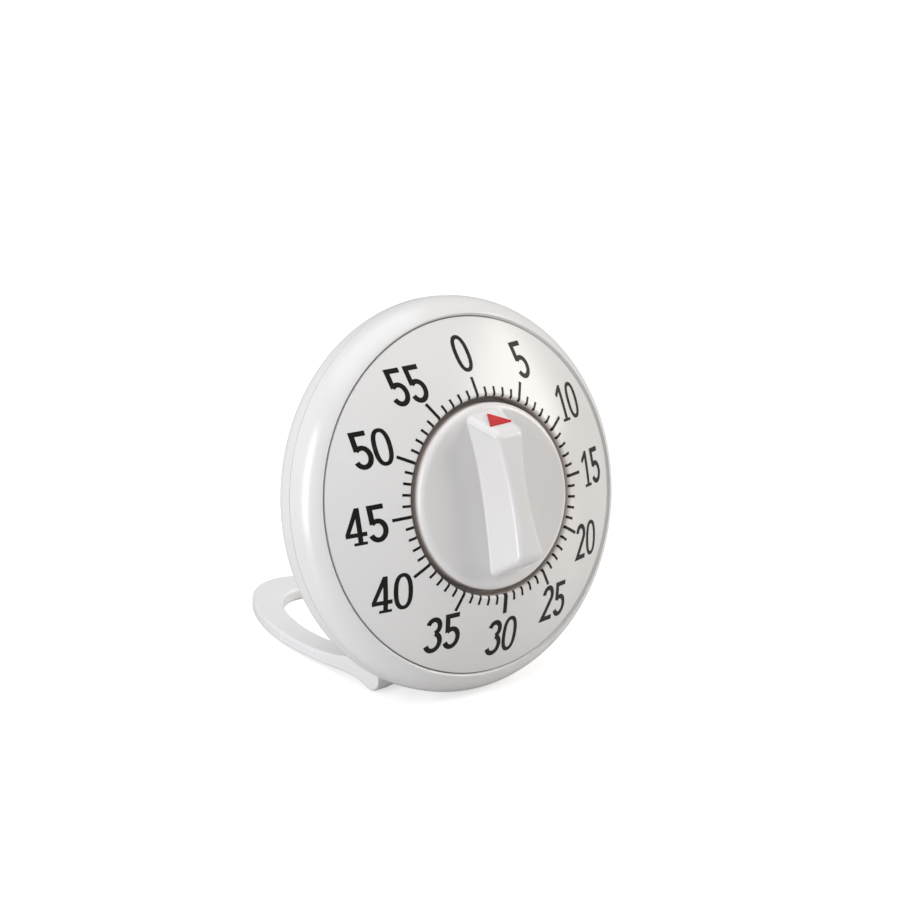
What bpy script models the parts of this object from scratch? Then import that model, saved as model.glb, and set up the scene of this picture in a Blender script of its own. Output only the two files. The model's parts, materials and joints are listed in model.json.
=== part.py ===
"""Sixty-minute mechanical kitchen timer that leans back on a fold-out loop stand.

Metres, +Z up, and the dial faces -Y. The case parts and the movement are modelled in the
case's own frame: X towards 3 o'clock, Y towards 12 o'clock, Z out of the dial, with Z = 0
in the plane of the groove round the dial. An empty tilts that frame back by LEAN.
"""

import math

import bmesh
import bpy
from mathutils import Matrix, Vector

# ---------------------------------------------------------------- driving dimensions
GAP = 0.0003
FINE = 0.00001
ROUND_STEPS = 40

LEAN = math.radians(13.0)

# case, seen from the dial's side; depths are Z in the case's frame
CASE_RADIUS = 0.0600
RIM_ROUND = 0.0112
RIM_CROWN = 0.0018
RIM_WALL = 0.0022
PARTING_DEPTH = 0.0086
LEDGE_INNER_RADIUS = 0.0468
LEDGE_THICKNESS = 0.0020
REAR_FACE_DEPTH = 0.0175
REAR_ROUND = 0.0060
REAR_WALL = 0.0018
LIP_HEIGHT = 0.0020
LIP_WALL = 0.0015
PLATEAU_RADIUS = 0.0420
PLATEAU_DEPTH = 0.0240
PLATEAU_ROUND = 0.0015
SOUND_SLOT_COUNT = 8
SOUND_SLOT_RADIUS = 0.0180
SOUND_SLOT_LENGTH = 0.0100
SOUND_SLOT_WIDTH = 0.0024

# dial
GROOVE_RADIUS = 0.0536
DIAL_SAG = 0.0150
DIAL_THICKNESS = 0.0020
WELL_RADIUS = 0.0296
WELL_EDGE_ROUND = 0.0016
WELL_FLOOR = 0.0040
WELL_WALL = 0.0015
DIAL_HOLE_RADIUS = 0.0050

# knob
KNOB_RADIUS = 0.0279
KNOB_FRONT = 0.0120
KNOB_EDGE_ROUND = 0.0020
KNOB_WALL = 0.0020
KNOB_FLOOR_GAP = 0.0010
KNOB_HUB_RADIUS = 0.0038
GRIP_TOP_HALF_LENGTHS = (0.0190, 0.0200)
GRIP_BASE_HALF_LENGTHS = (0.0237, 0.0253)
GRIP_TOP_HEIGHTS = (0.0256, 0.0234)
GRIP_TOP_HALF_WIDTHS = (0.0052, 0.0033, 0.0052)
GRIP_BASE_HALF_WIDTHS = (0.0058, 0.0047, 0.0070)
GRIP_BEVEL = 0.0011
GRIP_SECTIONS = 8
POINTER_HALF_WIDTH = 0.0041
POINTER_TOP = 0.0194
POINTER_TIP = 0.0133
POINTER_THICKNESS = 0.0006

GRIP_HOLLOW_LENGTH = 0.86
SHAFT_FLAT = 0.55
BORE_DEPTH = 0.0040

# screws of the case
CASE_SCREW_CIRCLE = 0.0500
CASE_SCREW_ANGLES = (90.0, 210.0, 330.0)
CASE_BOSS_RADIUS = 0.0035
CASE_POST_RADIUS = 0.0048
CASE_SCREW_RADIUS = 0.0015
CASE_SCREW_HEAD_RADIUS = 0.0029
CASE_SCREW_HEAD = 0.0018
CASE_SCREW_SEAT_DEPTH = 0.0142
CROSS_REACH = 0.0016
CROSS_HALF_WIDTH = 0.0003

# stand; its hinge lies along X behind the foot of the case
HINGE_INSET = 0.0084
HINGE_DEPTH = 0.0266
STAND_HALF_WIDTH = 0.0280
STAND_REACH = 0.0902
STAND_NOSE = 0.0625
STAND_HOLE_HALF_WIDTH = 0.0188
STAND_HOLE_NEAR = 0.0098
STAND_HOLE_FAR = 0.0764
STAND_HOLE_NOSE = 0.0422
KNUCKLE_RADIUS = 0.0046
KNUCKLE_WIDTH = 0.0060
PEG_RADIUS = 0.0017
PEG_LENGTH = 0.0036
LUG_WIDTH = 0.0065
LUG_RADIUS = 0.0043
STAND_NEAR_HEIGHT = 0.0087
STAND_FAR_HEIGHT = 0.0038
STAND_HIGH_SIDE = ((0.0120, 0.0077), (0.0192, 0.00614), (0.0300, 0.0049), (0.0440, 0.0043))
STAND_LOW_SIDE = ((0.0086, 0.00224), (0.0250, 0.00134), (0.0602, 0.0))
STAND_END_ROUND = 0.0010

# movement; depths are Z in the case's frame
FRONT_PLATE = (-0.0005, 0.0005)
FRONT_PLATE_RADIUS = 0.0385
REAR_PLATE = (-0.0160, -0.0150)
REAR_PLATE_RADIUS = 0.0315
PILLAR_RADIUS = 0.0020
PILLARS = ((-0.0123, 0.0263), (0.0240, -0.0080), (0.0170, -0.0240))
SMALL_SCREW_RADIUS = 0.0010
SMALL_SCREW_HEAD_RADIUS = 0.0019
SMALL_SCREW_HEAD = 0.0010
MOVEMENT_SCREW_GRIP = 0.0028
DIAL_BOSS_CIRCLE = 0.0350
DIAL_BOSS_ANGLES = (60.0, 180.0, 300.0)
DIAL_BOSS_RADIUS = 0.0026
ARBOR_RADIUS = 0.0010
PIVOT_RADIUS = 0.0006
MAIN_SHAFT_RADIUS = 0.0020
MAIN_BODY_RADIUS = 0.0022
MAIN_PIVOT_RADIUS = 0.0012
MAIN_HUB_RADIUS = 0.0030
MAIN_FLANGE_RADIUS = 0.0045
MAIN_FLANGE = 0.0004
PILLAR_BORE = 0.0042

# wheels: tooth module, teeth, levels
MODULE = 0.00075
MAIN_TEETH = 48
WHEEL_TEETH = 40
PINION_LEAVES = 8
ESCAPE_TEETH = 16
ESCAPE_TIP_RADIUS = 0.0068
ESCAPE_ROOT_RADIUS = 0.0052
SPRING_LEVEL = (-0.0066, -0.0014)
CLUTCH_LEVEL = (-0.0079, -0.0073)
MAIN_LEVEL = (-0.0092, -0.0082)
SECOND_PINION_LEVEL = (-0.0099, -0.0076)
SECOND_LEVEL = (-0.0112, -0.0104)
THIRD_PINION_LEVEL = (-0.0120, -0.0098)
CAM_LEVEL = (-0.0125, -0.0117)
THIRD_LEVEL = (-0.0138, -0.0131)
ESCAPE_PINION_LEVEL = (-0.0143, -0.0126)
ESCAPE_LEVEL = (-0.0116, -0.0110)
SECOND_ANGLE = 160.0
THIRD_ANGLE = 270.0
ESCAPE_ANGLE = 325.0
PALLET_ANGLE = 340.0
PALLET_DISTANCE = 0.0100
CAM_RADIUS = 0.0080
CAM_NOTCH = (150, 180)
CAM_NOTCH_SHARE = 0.72
CLUTCH_RADIUS = 0.0060
CLUTCH_LIP = 0.0006
WHEEL_HOLES = 4
WHEEL_HOLE_CIRCLE = 0.55
WHEEL_HOLE_RADIUS = 0.22
SPRING_TURNS = 5
SPRING_THICKNESS = 0.00035
SPRING_POST = (0.0, 0.0185)
SPRING_POST_RADIUS = 0.0012

# bell and hammer
BELL_CENTRE = (0.0, -0.0060)
BELL_RADIUS = 0.0310
BELL_RIM_DEPTH = 0.0173
BELL_CROWN_DEPTH = 0.0207
BELL_THICKNESS = 0.0008
BELL_ROUND = 0.0026
BELL_SCREW_HEAD = 0.0008
BELL_POST_BORE = 0.0022
BELL_POST_RADIUS = 0.0030
HAMMER_PIVOT = (0.0200, 0.0140)
HAMMER_HEAD_RADIUS = 0.0021
HAMMER_HEAD_GAP = 0.0009
HAMMER_ARM_HALF_WIDTH = 0.0012
HAMMER_REACH = 0.0022
CAM_CLEARANCE = 0.0009

# ---------------------------------------------------------------- derived dimensions
RIM_CENTRE = (CASE_RADIUS - RIM_ROUND, RIM_CROWN - RIM_ROUND)
HINGE_BELOW = CASE_RADIUS - HINGE_INSET
DIAL_RADIUS = GROOVE_RADIUS - GAP / 2
RIM_INNER_RADIUS = GROOVE_RADIUS + GAP / 2
REAR_ROUND_CENTRE = (CASE_RADIUS - REAR_ROUND, REAR_ROUND - REAR_FACE_DEPTH)
CASE_DROP = (
    REAR_ROUND_CENTRE[0] * math.cos(LEAN) - REAR_ROUND_CENTRE[1] * math.sin(LEAN) + REAR_ROUND
)
PLATE_BOSS_END = FRONT_PLATE[1] + GAP
PITCH_RADIUS = {teeth: MODULE * teeth / 2 for teeth in (MAIN_TEETH, WHEEL_TEETH, PINION_LEAVES)}
FIRST_STEP = PITCH_RADIUS[MAIN_TEETH] + PITCH_RADIUS[PINION_LEAVES]
NEXT_STEP = PITCH_RADIUS[WHEEL_TEETH] + PITCH_RADIUS[PINION_LEAVES]


def polar(radius, degrees, centre=(0.0, 0.0)):
    """Point at this radius and angle from a centre."""
    angle = math.radians(degrees)
    return (centre[0] + radius * math.cos(angle), centre[1] + radius * math.sin(angle))


SECOND_AT = polar(FIRST_STEP, SECOND_ANGLE)
THIRD_AT = polar(NEXT_STEP, THIRD_ANGLE, SECOND_AT)
ESCAPE_AT = polar(NEXT_STEP, ESCAPE_ANGLE, THIRD_AT)
PALLET_AT = polar(PALLET_DISTANCE, PALLET_ANGLE, ESCAPE_AT)
HAMMER_HEAD_AT = (
    BELL_CENTRE[0] + BELL_RADIUS + HAMMER_HEAD_GAP + HAMMER_HEAD_RADIUS,
    BELL_CENTRE[1],
)


def to_world(x, y, z):
    """A point of the case's frame, measured from the groove's centre, in world directions."""
    return Vector(
        (
            x,
            y * math.sin(LEAN) - z * math.cos(LEAN),
            y * math.cos(LEAN) + z * math.sin(LEAN),
        )
    )


HINGE = to_world(0.0, -HINGE_BELOW, -HINGE_DEPTH)
# the bevel takes the foremost corner of the grip back by a fixed share of its width
GRIP_BASE = KNOB_FRONT - KNOB_WALL / 2
GRIP_NOSE = to_world(0.0, -GRIP_TOP_HALF_LENGTHS[0], GRIP_TOP_HEIGHTS[0])
CENTRE_HEIGHT = CASE_DROP
HINGE_HEIGHT = CENTRE_HEIGHT + HINGE.z
NOSE_ROUNDING = 0.28 * GRIP_BEVEL
CENTRE_SHIFT = -(GRIP_NOSE.y + NOSE_ROUNDING + HINGE.y + STAND_REACH) / 2


# ---------------------------------------------------------------- scene and helpers
def clear_scene():
    for obj in list(bpy.data.objects):
        bpy.data.objects.remove(obj, do_unlink=True)


def new_collection(name):
    collection = bpy.data.collections.new(name)
    bpy.context.scene.collection.children.link(collection)
    return collection


def new_material(name, color, roughness, metallic=0.0):
    made = bpy.data.materials.new(name)
    made.use_nodes = True
    shader = made.node_tree.nodes["Principled BSDF"]
    shader.inputs["Base Color"].default_value = (*color, 1.0)
    shader.inputs["Roughness"].default_value = roughness
    shader.inputs["Metallic"].default_value = metallic
    return made


clear_scene()
PARTS = new_collection("kitchen_timer")
CUTTERS = new_collection("cutters")
WHITE_PLASTIC = new_material("white_plastic", (0.80, 0.79, 0.78), 0.30)
WHITE_KNOB = new_material("white_knob", (0.80, 0.79, 0.79), 0.28)
RED_PLASTIC = new_material("red_plastic", (0.60, 0.03, 0.03), 0.35)
NATURAL_NYLON = new_material("natural_nylon", (0.72, 0.70, 0.62), 0.45)
BRASS = new_material("brass", (0.72, 0.52, 0.22), 0.32, 1.0)
STEEL = new_material("steel", (0.58, 0.58, 0.60), 0.30, 1.0)
SPRING_STEEL = new_material("spring_steel", (0.28, 0.30, 0.36), 0.35, 1.0)
BELL_STEEL = new_material("bell_steel", (0.66, 0.66, 0.68), 0.18, 1.0)


def new_empty(name, location, rotation=(0.0, 0.0, 0.0)):
    empty = bpy.data.objects.new(name, None)
    empty.location = location
    empty.rotation_euler = rotation
    PARTS.objects.link(empty)
    return empty


CASE_TURN = (math.pi / 2 - LEAN, 0.0, 0.0)
CASE_FRAME = new_empty("case_frame", (0.0, CENTRE_SHIFT, CENTRE_HEIGHT), CASE_TURN)
STAND_FRAME = new_empty("stand_hinge", (0.0, CENTRE_SHIFT + HINGE.y, HINGE_HEIGHT))


def place(obj, parent, location=(0.0, 0.0, 0.0), turn=0.0):
    obj.parent = parent
    obj.location = location
    obj.rotation_euler = (0.0, 0.0, math.radians(turn))
    return obj


def as_part(obj, finish):
    PARTS.objects.link(obj)
    obj.data.materials.clear()
    obj.data.materials.append(finish)
    return obj


def as_cutter(obj, parent=CASE_FRAME):
    """A helper that shapes other objects and isn't a piece of the timer."""
    CUTTERS.objects.link(obj)
    obj.hide_render = True
    obj.display_type = "WIRE"
    obj.parent = parent
    return obj


def combine(obj, other, operation="DIFFERENCE"):
    modifier = obj.modifiers.new(other.name, "BOOLEAN")
    modifier.operation = operation
    modifier.solver = "EXACT"
    modifier.object = other


def finish_mesh(mesh, merge=FINE / 10, angle=35.0):
    """Weld the mesh, turn its faces outwards and shade it smooth except at sharp edges."""
    work = bmesh.new()
    work.from_mesh(mesh)
    bmesh.ops.remove_doubles(work, verts=work.verts, dist=merge)
    bmesh.ops.recalc_face_normals(work, faces=work.faces)
    work.to_mesh(mesh)
    work.free()
    mesh.shade_smooth()
    mesh.set_sharp_from_angle(angle=math.radians(angle))


def turned(name, profile, steps=ROUND_STEPS):
    """Solid of revolution about Z. A profile that starts off the axis is a closed ring."""
    count = len(profile)
    edges = [(index, index + 1) for index in range(count - 1)]
    if profile[0][0] > FINE:
        edges.append((count - 1, 0))
    mesh = bpy.data.meshes.new(name)
    mesh.from_pydata([(radius, 0.0, z) for radius, z in profile], edges, [])
    obj = bpy.data.objects.new(name, mesh)
    screw = obj.modifiers.new("turn", "SCREW")
    screw.angle = 2 * math.pi
    screw.steps = steps
    screw.render_steps = steps
    screw.use_merge_vertices = True
    screw.merge_threshold = FINE
    screw.use_smooth_shade = True
    return obj


def cylinder(name, radius, low, high, steps=16, at=(0.0, 0.0)):
    """A closed cylinder along Z, with its axis at a point of the XY plane."""
    work = bmesh.new()
    bmesh.ops.create_cone(
        work,
        cap_ends=True,
        segments=steps,
        radius1=radius,
        radius2=radius,
        depth=high - low,
        matrix=Matrix.Translation((0.0, 0.0, (low + high) / 2)),
    )
    mesh = bpy.data.meshes.new(name)
    work.to_mesh(mesh)
    work.free()
    mesh.shade_smooth()
    mesh.set_sharp_from_angle(angle=math.radians(35.0))
    obj = bpy.data.objects.new(name, mesh)
    obj.location = (at[0], at[1], 0.0)
    return obj


def block(name, low, high):
    """A box between two corners."""
    size = [top - bottom for bottom, top in zip(low, high)]
    middle = [(top + bottom) / 2 for bottom, top in zip(low, high)]
    work = bmesh.new()
    fit = Matrix.Translation(middle) @ Matrix.Diagonal((*size, 1.0))
    bmesh.ops.create_cube(work, size=1.0, matrix=fit)
    mesh = bpy.data.meshes.new(name)
    work.to_mesh(mesh)
    work.free()
    return bpy.data.objects.new(name, mesh)


def evaluated_mesh(obj):
    """The mesh that the object shows, with its curve or modifiers worked out."""
    bpy.context.scene.collection.objects.link(obj)
    graph = bpy.context.evaluated_depsgraph_get()
    mesh = bpy.data.meshes.new_from_object(obj.evaluated_get(graph))
    bpy.context.scene.collection.objects.unlink(obj)
    return mesh


def flat_plate(name, outlines, low, high):
    """A flat outline, with any holes, between two levels of Z."""
    curve = bpy.data.curves.new(name, "CURVE")
    curve.dimensions = "2D"
    curve.fill_mode = "BOTH"
    curve.extrude = (high - low) / 2
    for outline in outlines:
        spline = curve.splines.new("POLY")
        spline.points.add(len(outline) - 1)
        for point, (x, y) in zip(spline.points, outline):
            point.co = (x, y, 0.0, 1.0)
        spline.use_cyclic_u = True
    guide = bpy.data.objects.new(name, curve)
    mesh = evaluated_mesh(guide)
    bpy.data.objects.remove(guide)
    mesh.transform(Matrix.Translation((0.0, 0.0, (low + high) / 2)))
    finish_mesh(mesh)
    mesh.name = name
    return bpy.data.objects.new(name, mesh)


def circle(radius, steps, centre=(0.0, 0.0), start=0.0):
    return [polar(radius, start + 360.0 * step / steps, centre) for step in range(steps)]


def arc(centre, radius, start, end, steps):
    return [polar(radius, start + (end - start) * step / steps, centre) for step in range(steps + 1)]


# ---------------------------------------------------------------- case
def rim_point_angle(radius):
    """Angle on the rim's rounding where it reaches this radius."""
    return math.degrees(math.acos((radius - RIM_CENTRE[0]) / RIM_ROUND))


def make_front_shell():
    start = rim_point_angle(RIM_INNER_RADIUS)
    end = math.degrees(math.asin((-PARTING_DEPTH - RIM_CENTRE[1]) / RIM_ROUND))
    ledge_top = -DIAL_THICKNESS - GAP
    ledge_low = ledge_top - LEDGE_THICKNESS
    inner_round = RIM_ROUND - RIM_WALL
    inner_end = math.degrees(math.asin((-PARTING_DEPTH - RIM_CENTRE[1]) / inner_round))
    inner_start = math.degrees(math.asin((ledge_low - RIM_CENTRE[1]) / inner_round))
    profile = arc(RIM_CENTRE, RIM_ROUND, start, end, 6)
    profile += arc(RIM_CENTRE, inner_round, inner_end, inner_start, 2)
    profile += [(LEDGE_INNER_RADIUS, ledge_low), (LEDGE_INNER_RADIUS, ledge_top)]
    profile += [(RIM_INNER_RADIUS, ledge_top)]
    shell = as_part(turned("front_shell", profile), WHITE_PLASTIC)
    place(shell, CASE_FRAME)
    for number, angle in enumerate(CASE_SCREW_ANGLES, 1):
        at = polar(CASE_SCREW_CIRCLE, angle)
        low = -PARTING_DEPTH + 2 * GAP
        boss = cylinder(f"shell_boss_{number}", CASE_BOSS_RADIUS, low, ledge_low + GAP, 16, at)
        combine(shell, as_cutter(boss), "UNION")
        hole = CASE_SCREW_RADIUS + GAP
        bore = cylinder(f"shell_bore_{number}", hole, low - GAP, ledge_low - GAP, 12, at)
        combine(shell, as_cutter(bore))


def make_rear_cover():
    inner_radius = CASE_RADIUS - RIM_WALL
    floor = -REAR_FACE_DEPTH + REAR_WALL
    top = -PARTING_DEPTH - GAP
    lip_outer = inner_radius - 3 * GAP
    lip_inner = lip_outer - LIP_WALL
    pocket_radius = PLATEAU_RADIUS - REAR_WALL
    pocket_floor = -PLATEAU_DEPTH + REAR_WALL
    profile = [(0.0, pocket_floor), (pocket_radius, pocket_floor), (pocket_radius, floor)]
    profile += arc(REAR_ROUND_CENTRE, REAR_ROUND - REAR_WALL, -90.0, -30.0, 1)
    profile += [(inner_radius, top - LIP_WALL), (lip_inner, top - LIP_WALL)]
    profile += [(lip_inner, top + LIP_HEIGHT), (lip_outer, top + LIP_HEIGHT), (lip_outer, top)]
    profile += [(CASE_RADIUS, top)]
    profile += arc(REAR_ROUND_CENTRE, REAR_ROUND, 0.0, -90.0, 4)
    profile += [(PLATEAU_RADIUS, -REAR_FACE_DEPTH)]
    plateau_centre = (PLATEAU_RADIUS - PLATEAU_ROUND, -PLATEAU_DEPTH + PLATEAU_ROUND)
    profile += arc(plateau_centre, PLATEAU_ROUND, 0.0, -90.0, 1)
    profile += [(0.0, -PLATEAU_DEPTH)]
    cover = as_part(turned("rear_cover", profile), WHITE_PLASTIC)
    place(cover, CASE_FRAME)
    for number, angle in enumerate(CASE_SCREW_ANGLES, 1):
        at = polar(CASE_SCREW_CIRCLE, angle)
        high = -PARTING_DEPTH + GAP
        post = cylinder(f"cover_post_{number}", CASE_POST_RADIUS, floor - GAP, high, 16, at)
        combine(cover, as_cutter(post), "UNION")
        hole = CASE_SCREW_RADIUS + GAP
        bore = cylinder(f"cover_bore_{number}", hole, -REAR_FACE_DEPTH, high + GAP, 12, at)
        combine(cover, as_cutter(bore))
        recess = CASE_SCREW_HEAD_RADIUS + GAP
        mouth = -REAR_FACE_DEPTH - GAP
        seat = cylinder(f"cover_seat_{number}", recess, mouth, -CASE_SCREW_SEAT_DEPTH, 16, at)
        combine(cover, as_cutter(seat))
    for number in range(SOUND_SLOT_COUNT):
        combine(cover, sound_slot(360.0 * number / SOUND_SLOT_COUNT))
    add_lugs(cover)


def sound_slot(angle):
    """One radial slot through the back that lets the bell's sound out."""
    inner = SOUND_SLOT_RADIUS
    outer = SOUND_SLOT_RADIUS + SOUND_SLOT_LENGTH
    half = SOUND_SLOT_WIDTH / 2
    low = -PLATEAU_DEPTH - REAR_WALL
    slot = block(f"sound_slot_{angle:.0f}", (inner, -half, low), (outer, half, low + 3 * REAR_WALL))
    as_cutter(slot)
    slot.rotation_euler = (0.0, 0.0, math.radians(angle + 180.0 / SOUND_SLOT_COUNT))
    return slot


def add_lugs(cover):
    """Two lugs behind the foot of the cover, each with a blind socket for a peg of the stand."""
    outer = STAND_HALF_WIDTH - KNUCKLE_WIDTH - GAP
    inner = outer - LUG_WIDTH
    top = -REAR_FACE_DEPTH + REAR_WALL / 2
    centre = (-HINGE_DEPTH, -HINGE_BELOW)
    outline = [(top, -HINGE_BELOW - LUG_RADIUS * 0.5), *arc(centre, LUG_RADIUS, -60.0, -270.0, 10)]
    outline.append((top, -HINGE_BELOW + LUG_RADIUS))
    for side in (-1, 1):
        name = "left" if side < 0 else "right"
        low, high = sorted((side * inner, side * outer))
        lug = flat_plate(f"lug_{name}", [outline], low, high)
        # the outline's X is the case's Z, and its Y is the case's Y
        lug.data.transform(Matrix(((0, 0, 1, 0), (0, 1, 0, 0), (1, 0, 0, 0), (0, 0, 0, 1))))
        finish_mesh(lug.data)
        combine(cover, as_cutter(lug), "UNION")
        socket = cylinder(f"socket_{name}", PEG_RADIUS + GAP, 0.0, PEG_LENGTH + 2 * GAP, 16)
        socket.rotation_euler = (0.0, math.radians(-90.0 * side), 0.0)
        socket.location = (side * (outer + GAP), -HINGE_BELOW, -HINGE_DEPTH)
        combine(cover, as_cutter(socket))


def screw_profile(head_radius, shank_radius, head_low, seat, tip):
    """Pan-headed screw, tip up."""
    return [
        (0.0, tip),
        (shank_radius * 0.6, tip),
        (shank_radius, tip - shank_radius * 0.6),
        (shank_radius, seat),
        (head_radius, seat),
        (head_radius, head_low + (seat - head_low) * 0.35),
        (head_radius * 0.8, head_low),
        (0.0, head_low),
    ]


def make_case_screws():
    seat = -CASE_SCREW_SEAT_DEPTH - GAP
    ledge_low = -DIAL_THICKNESS - GAP - LEDGE_THICKNESS
    tip = ledge_low - 2 * GAP
    profile = screw_profile(
        CASE_SCREW_HEAD_RADIUS, CASE_SCREW_RADIUS, seat - CASE_SCREW_HEAD, seat, tip
    )
    for number, angle in enumerate(CASE_SCREW_ANGLES, 1):
        x, y = polar(CASE_SCREW_CIRCLE, angle)
        screw = as_part(turned(f"case_screw_{number}", profile, 16), STEEL)
        place(screw, CASE_FRAME, (x, y, 0.0))
        arms = ((CROSS_REACH, CROSS_HALF_WIDTH), (CROSS_HALF_WIDTH, CROSS_REACH))
        for arm, size in enumerate(arms):
            recess = block(
                f"cross_{number}_{arm}",
                (-size[0], -size[1], seat - CASE_SCREW_HEAD - GAP),
                (size[0], size[1], seat - CASE_SCREW_HEAD * 0.4),
            )
            as_cutter(recess)
            recess.location = (x, y, 0.0)
            combine(screw, recess)


# ---------------------------------------------------------------- dial
def dome_height(radius):
    return DIAL_SAG * (1 - (radius / GROOVE_RADIUS) ** 2)


def make_dial_plate():
    edge_radius = WELL_RADIUS + WELL_EDGE_ROUND
    slope = math.atan(2 * DIAL_SAG * edge_radius / GROOVE_RADIUS**2)
    touch_radius = edge_radius + WELL_EDGE_ROUND * math.sin(slope)
    edge_centre = (edge_radius, dome_height(touch_radius) - WELL_EDGE_ROUND * math.cos(slope))
    well_outer = WELL_RADIUS + WELL_WALL
    shoulder = well_outer + 2 * GAP
    steps = 4
    under = [
        DIAL_RADIUS + (shoulder - DIAL_RADIUS) * step / steps for step in range(steps + 1)
    ]
    over = [
        touch_radius + (DIAL_RADIUS - touch_radius) * step / steps for step in range(1, steps + 1)
    ]
    profile = [(radius, dome_height(radius) - DIAL_THICKNESS) for radius in under]
    profile += [(well_outer, dome_height(shoulder) - DIAL_THICKNESS - 2 * GAP)]
    profile += [(well_outer, WELL_FLOOR - WELL_WALL), (DIAL_HOLE_RADIUS, WELL_FLOOR - WELL_WALL)]
    profile += [(DIAL_HOLE_RADIUS, WELL_FLOOR), (WELL_RADIUS, WELL_FLOOR)]
    profile += arc(edge_centre, WELL_EDGE_ROUND, 180.0, 90.0 - math.degrees(slope), 3)
    profile += [(radius, dome_height(radius)) for radius in over]
    dial = as_part(turned("dial_plate", profile), WHITE_PLASTIC)
    place(dial, CASE_FRAME)
    for number, angle in enumerate(DIAL_BOSS_ANGLES, 1):
        at = polar(DIAL_BOSS_CIRCLE, angle)
        root = dome_height(DIAL_BOSS_CIRCLE + DIAL_BOSS_RADIUS) - DIAL_THICKNESS / 2
        boss = cylinder(f"dial_boss_{number}", DIAL_BOSS_RADIUS, PLATE_BOSS_END, root, 14, at)
        combine(dial, as_cutter(boss), "UNION")
        bore = cylinder(
            f"dial_bore_{number}",
            SMALL_SCREW_RADIUS + GAP,
            PLATE_BOSS_END - GAP,
            root - DIAL_THICKNESS,
            10,
            at,
        )
        combine(dial, as_cutter(bore))


# ---------------------------------------------------------------- knob
def blend_width(widths, share):
    """Half-width at a share from -1, the 6 o'clock end, to 1, the 12 o'clock end."""
    end = widths[0] if share < 0 else widths[2]
    return widths[1] + (end - widths[1]) * share * share


def grip_mesh(name):
    """The waisted, tapered bar that the fingers turn."""
    work = bmesh.new()
    bmesh.ops.create_cube(work, size=2.0)
    along = [edge for edge in work.edges if abs(edge.verts[0].co.y - edge.verts[1].co.y) > 1.0]
    bmesh.ops.subdivide_edges(work, edges=along, cuts=GRIP_SECTIONS - 1, use_grid_fill=True)
    for vertex in work.verts:
        side, share, level = vertex.co
        if level > 0:
            lengths, widths = GRIP_TOP_HALF_LENGTHS, GRIP_TOP_HALF_WIDTHS
            height = (GRIP_TOP_HEIGHTS[0] + GRIP_TOP_HEIGHTS[1]) / 2
            height += (GRIP_TOP_HEIGHTS[1] - GRIP_TOP_HEIGHTS[0]) / 2 * share
        else:
            lengths, widths = GRIP_BASE_HALF_LENGTHS, GRIP_BASE_HALF_WIDTHS
            height = GRIP_BASE
        length = (lengths[1] + lengths[0]) / 2 * share + (lengths[1] - lengths[0]) / 2
        vertex.co = (side * blend_width(widths, share), length, height)
    mesh = bpy.data.meshes.new(name)
    work.to_mesh(mesh)
    work.free()
    return mesh


def end_face_point(height):
    """Y of the grip's 12 o'clock end face at this height."""
    share = (height - GRIP_BASE) / (GRIP_TOP_HEIGHTS[1] - GRIP_BASE)
    return GRIP_BASE_HALF_LENGTHS[1] + share * (GRIP_TOP_HALF_LENGTHS[1] - GRIP_BASE_HALF_LENGTHS[1])


def pointer_prism(name, grow, thickness):
    """The pointer's triangle, as a plate that lies along the grip's end face."""
    top = (end_face_point(POINTER_TOP), POINTER_TOP)
    tip = (end_face_point(POINTER_TIP), POINTER_TIP)
    length = math.hypot(top[0] - tip[0], top[1] - tip[1])
    half = POINTER_HALF_WIDTH
    outline = [(-half - 2 * grow, -grow), (half + 2 * grow, -grow), (0.0, length + 2 * grow)]
    plate = flat_plate(name, [outline], -thickness, 0.0)
    down = Vector((0.0, tip[0] - top[0], tip[1] - top[1])).normalized()
    across = Vector((-1.0, 0.0, 0.0))
    outward = across.cross(down)
    turn = Matrix((across, down, outward)).transposed().to_4x4()
    plate.data.transform(Matrix.Translation((0.0, top[0], top[1])) @ turn)
    return plate


def make_knob():
    edge = (KNOB_RADIUS - KNOB_EDGE_ROUND, KNOB_FRONT - KNOB_EDGE_ROUND)
    skirt_end = WELL_FLOOR + KNOB_FLOOR_GAP
    under = KNOB_FRONT - KNOB_WALL
    profile = [(0.0, KNOB_FRONT), *arc(edge, KNOB_EDGE_ROUND, 90.0, 0.0, 3)]
    profile += [(KNOB_RADIUS, skirt_end), (KNOB_RADIUS - KNOB_WALL, skirt_end)]
    profile += [(KNOB_RADIUS - KNOB_WALL, under), (KNOB_HUB_RADIUS, under)]
    profile += [(KNOB_HUB_RADIUS, skirt_end), (0.0, skirt_end)]
    knob = as_part(turned("knob", profile), WHITE_KNOB)
    place(knob, CASE_FRAME)
    grip = bpy.data.objects.new("grip", grip_mesh("grip"))
    bevel = grip.modifiers.new("round", "BEVEL")
    bevel.width = GRIP_BEVEL
    bevel.segments = 2
    bevel.limit_method = "ANGLE"
    bevel.angle_limit = math.radians(35.0)
    combine(knob, as_cutter(grip), "UNION")
    hollow_mesh = grip_mesh("grip_hollow")
    hollow = bpy.data.objects.new("grip_hollow", hollow_mesh)
    shrink_grip(hollow.data)
    combine(knob, as_cutter(hollow))
    bore_end = KNOB_FRONT + BORE_DEPTH
    hub = cylinder("knob_hub", KNOB_HUB_RADIUS, skirt_end, bore_end + KNOB_WALL, 20)
    combine(knob, as_cutter(hub), "UNION")
    combine(knob, as_cutter(d_shaft("knob_bore", GAP, skirt_end - GAP, bore_end)))
    combine(knob, as_cutter(pointer_prism("pointer_pocket", GAP, POINTER_THICKNESS + GAP * 2)))
    inlay = as_part(pointer_prism("pointer_inlay", 0.0, POINTER_THICKNESS), RED_PLASTIC)
    place(inlay, CASE_FRAME)


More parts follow.
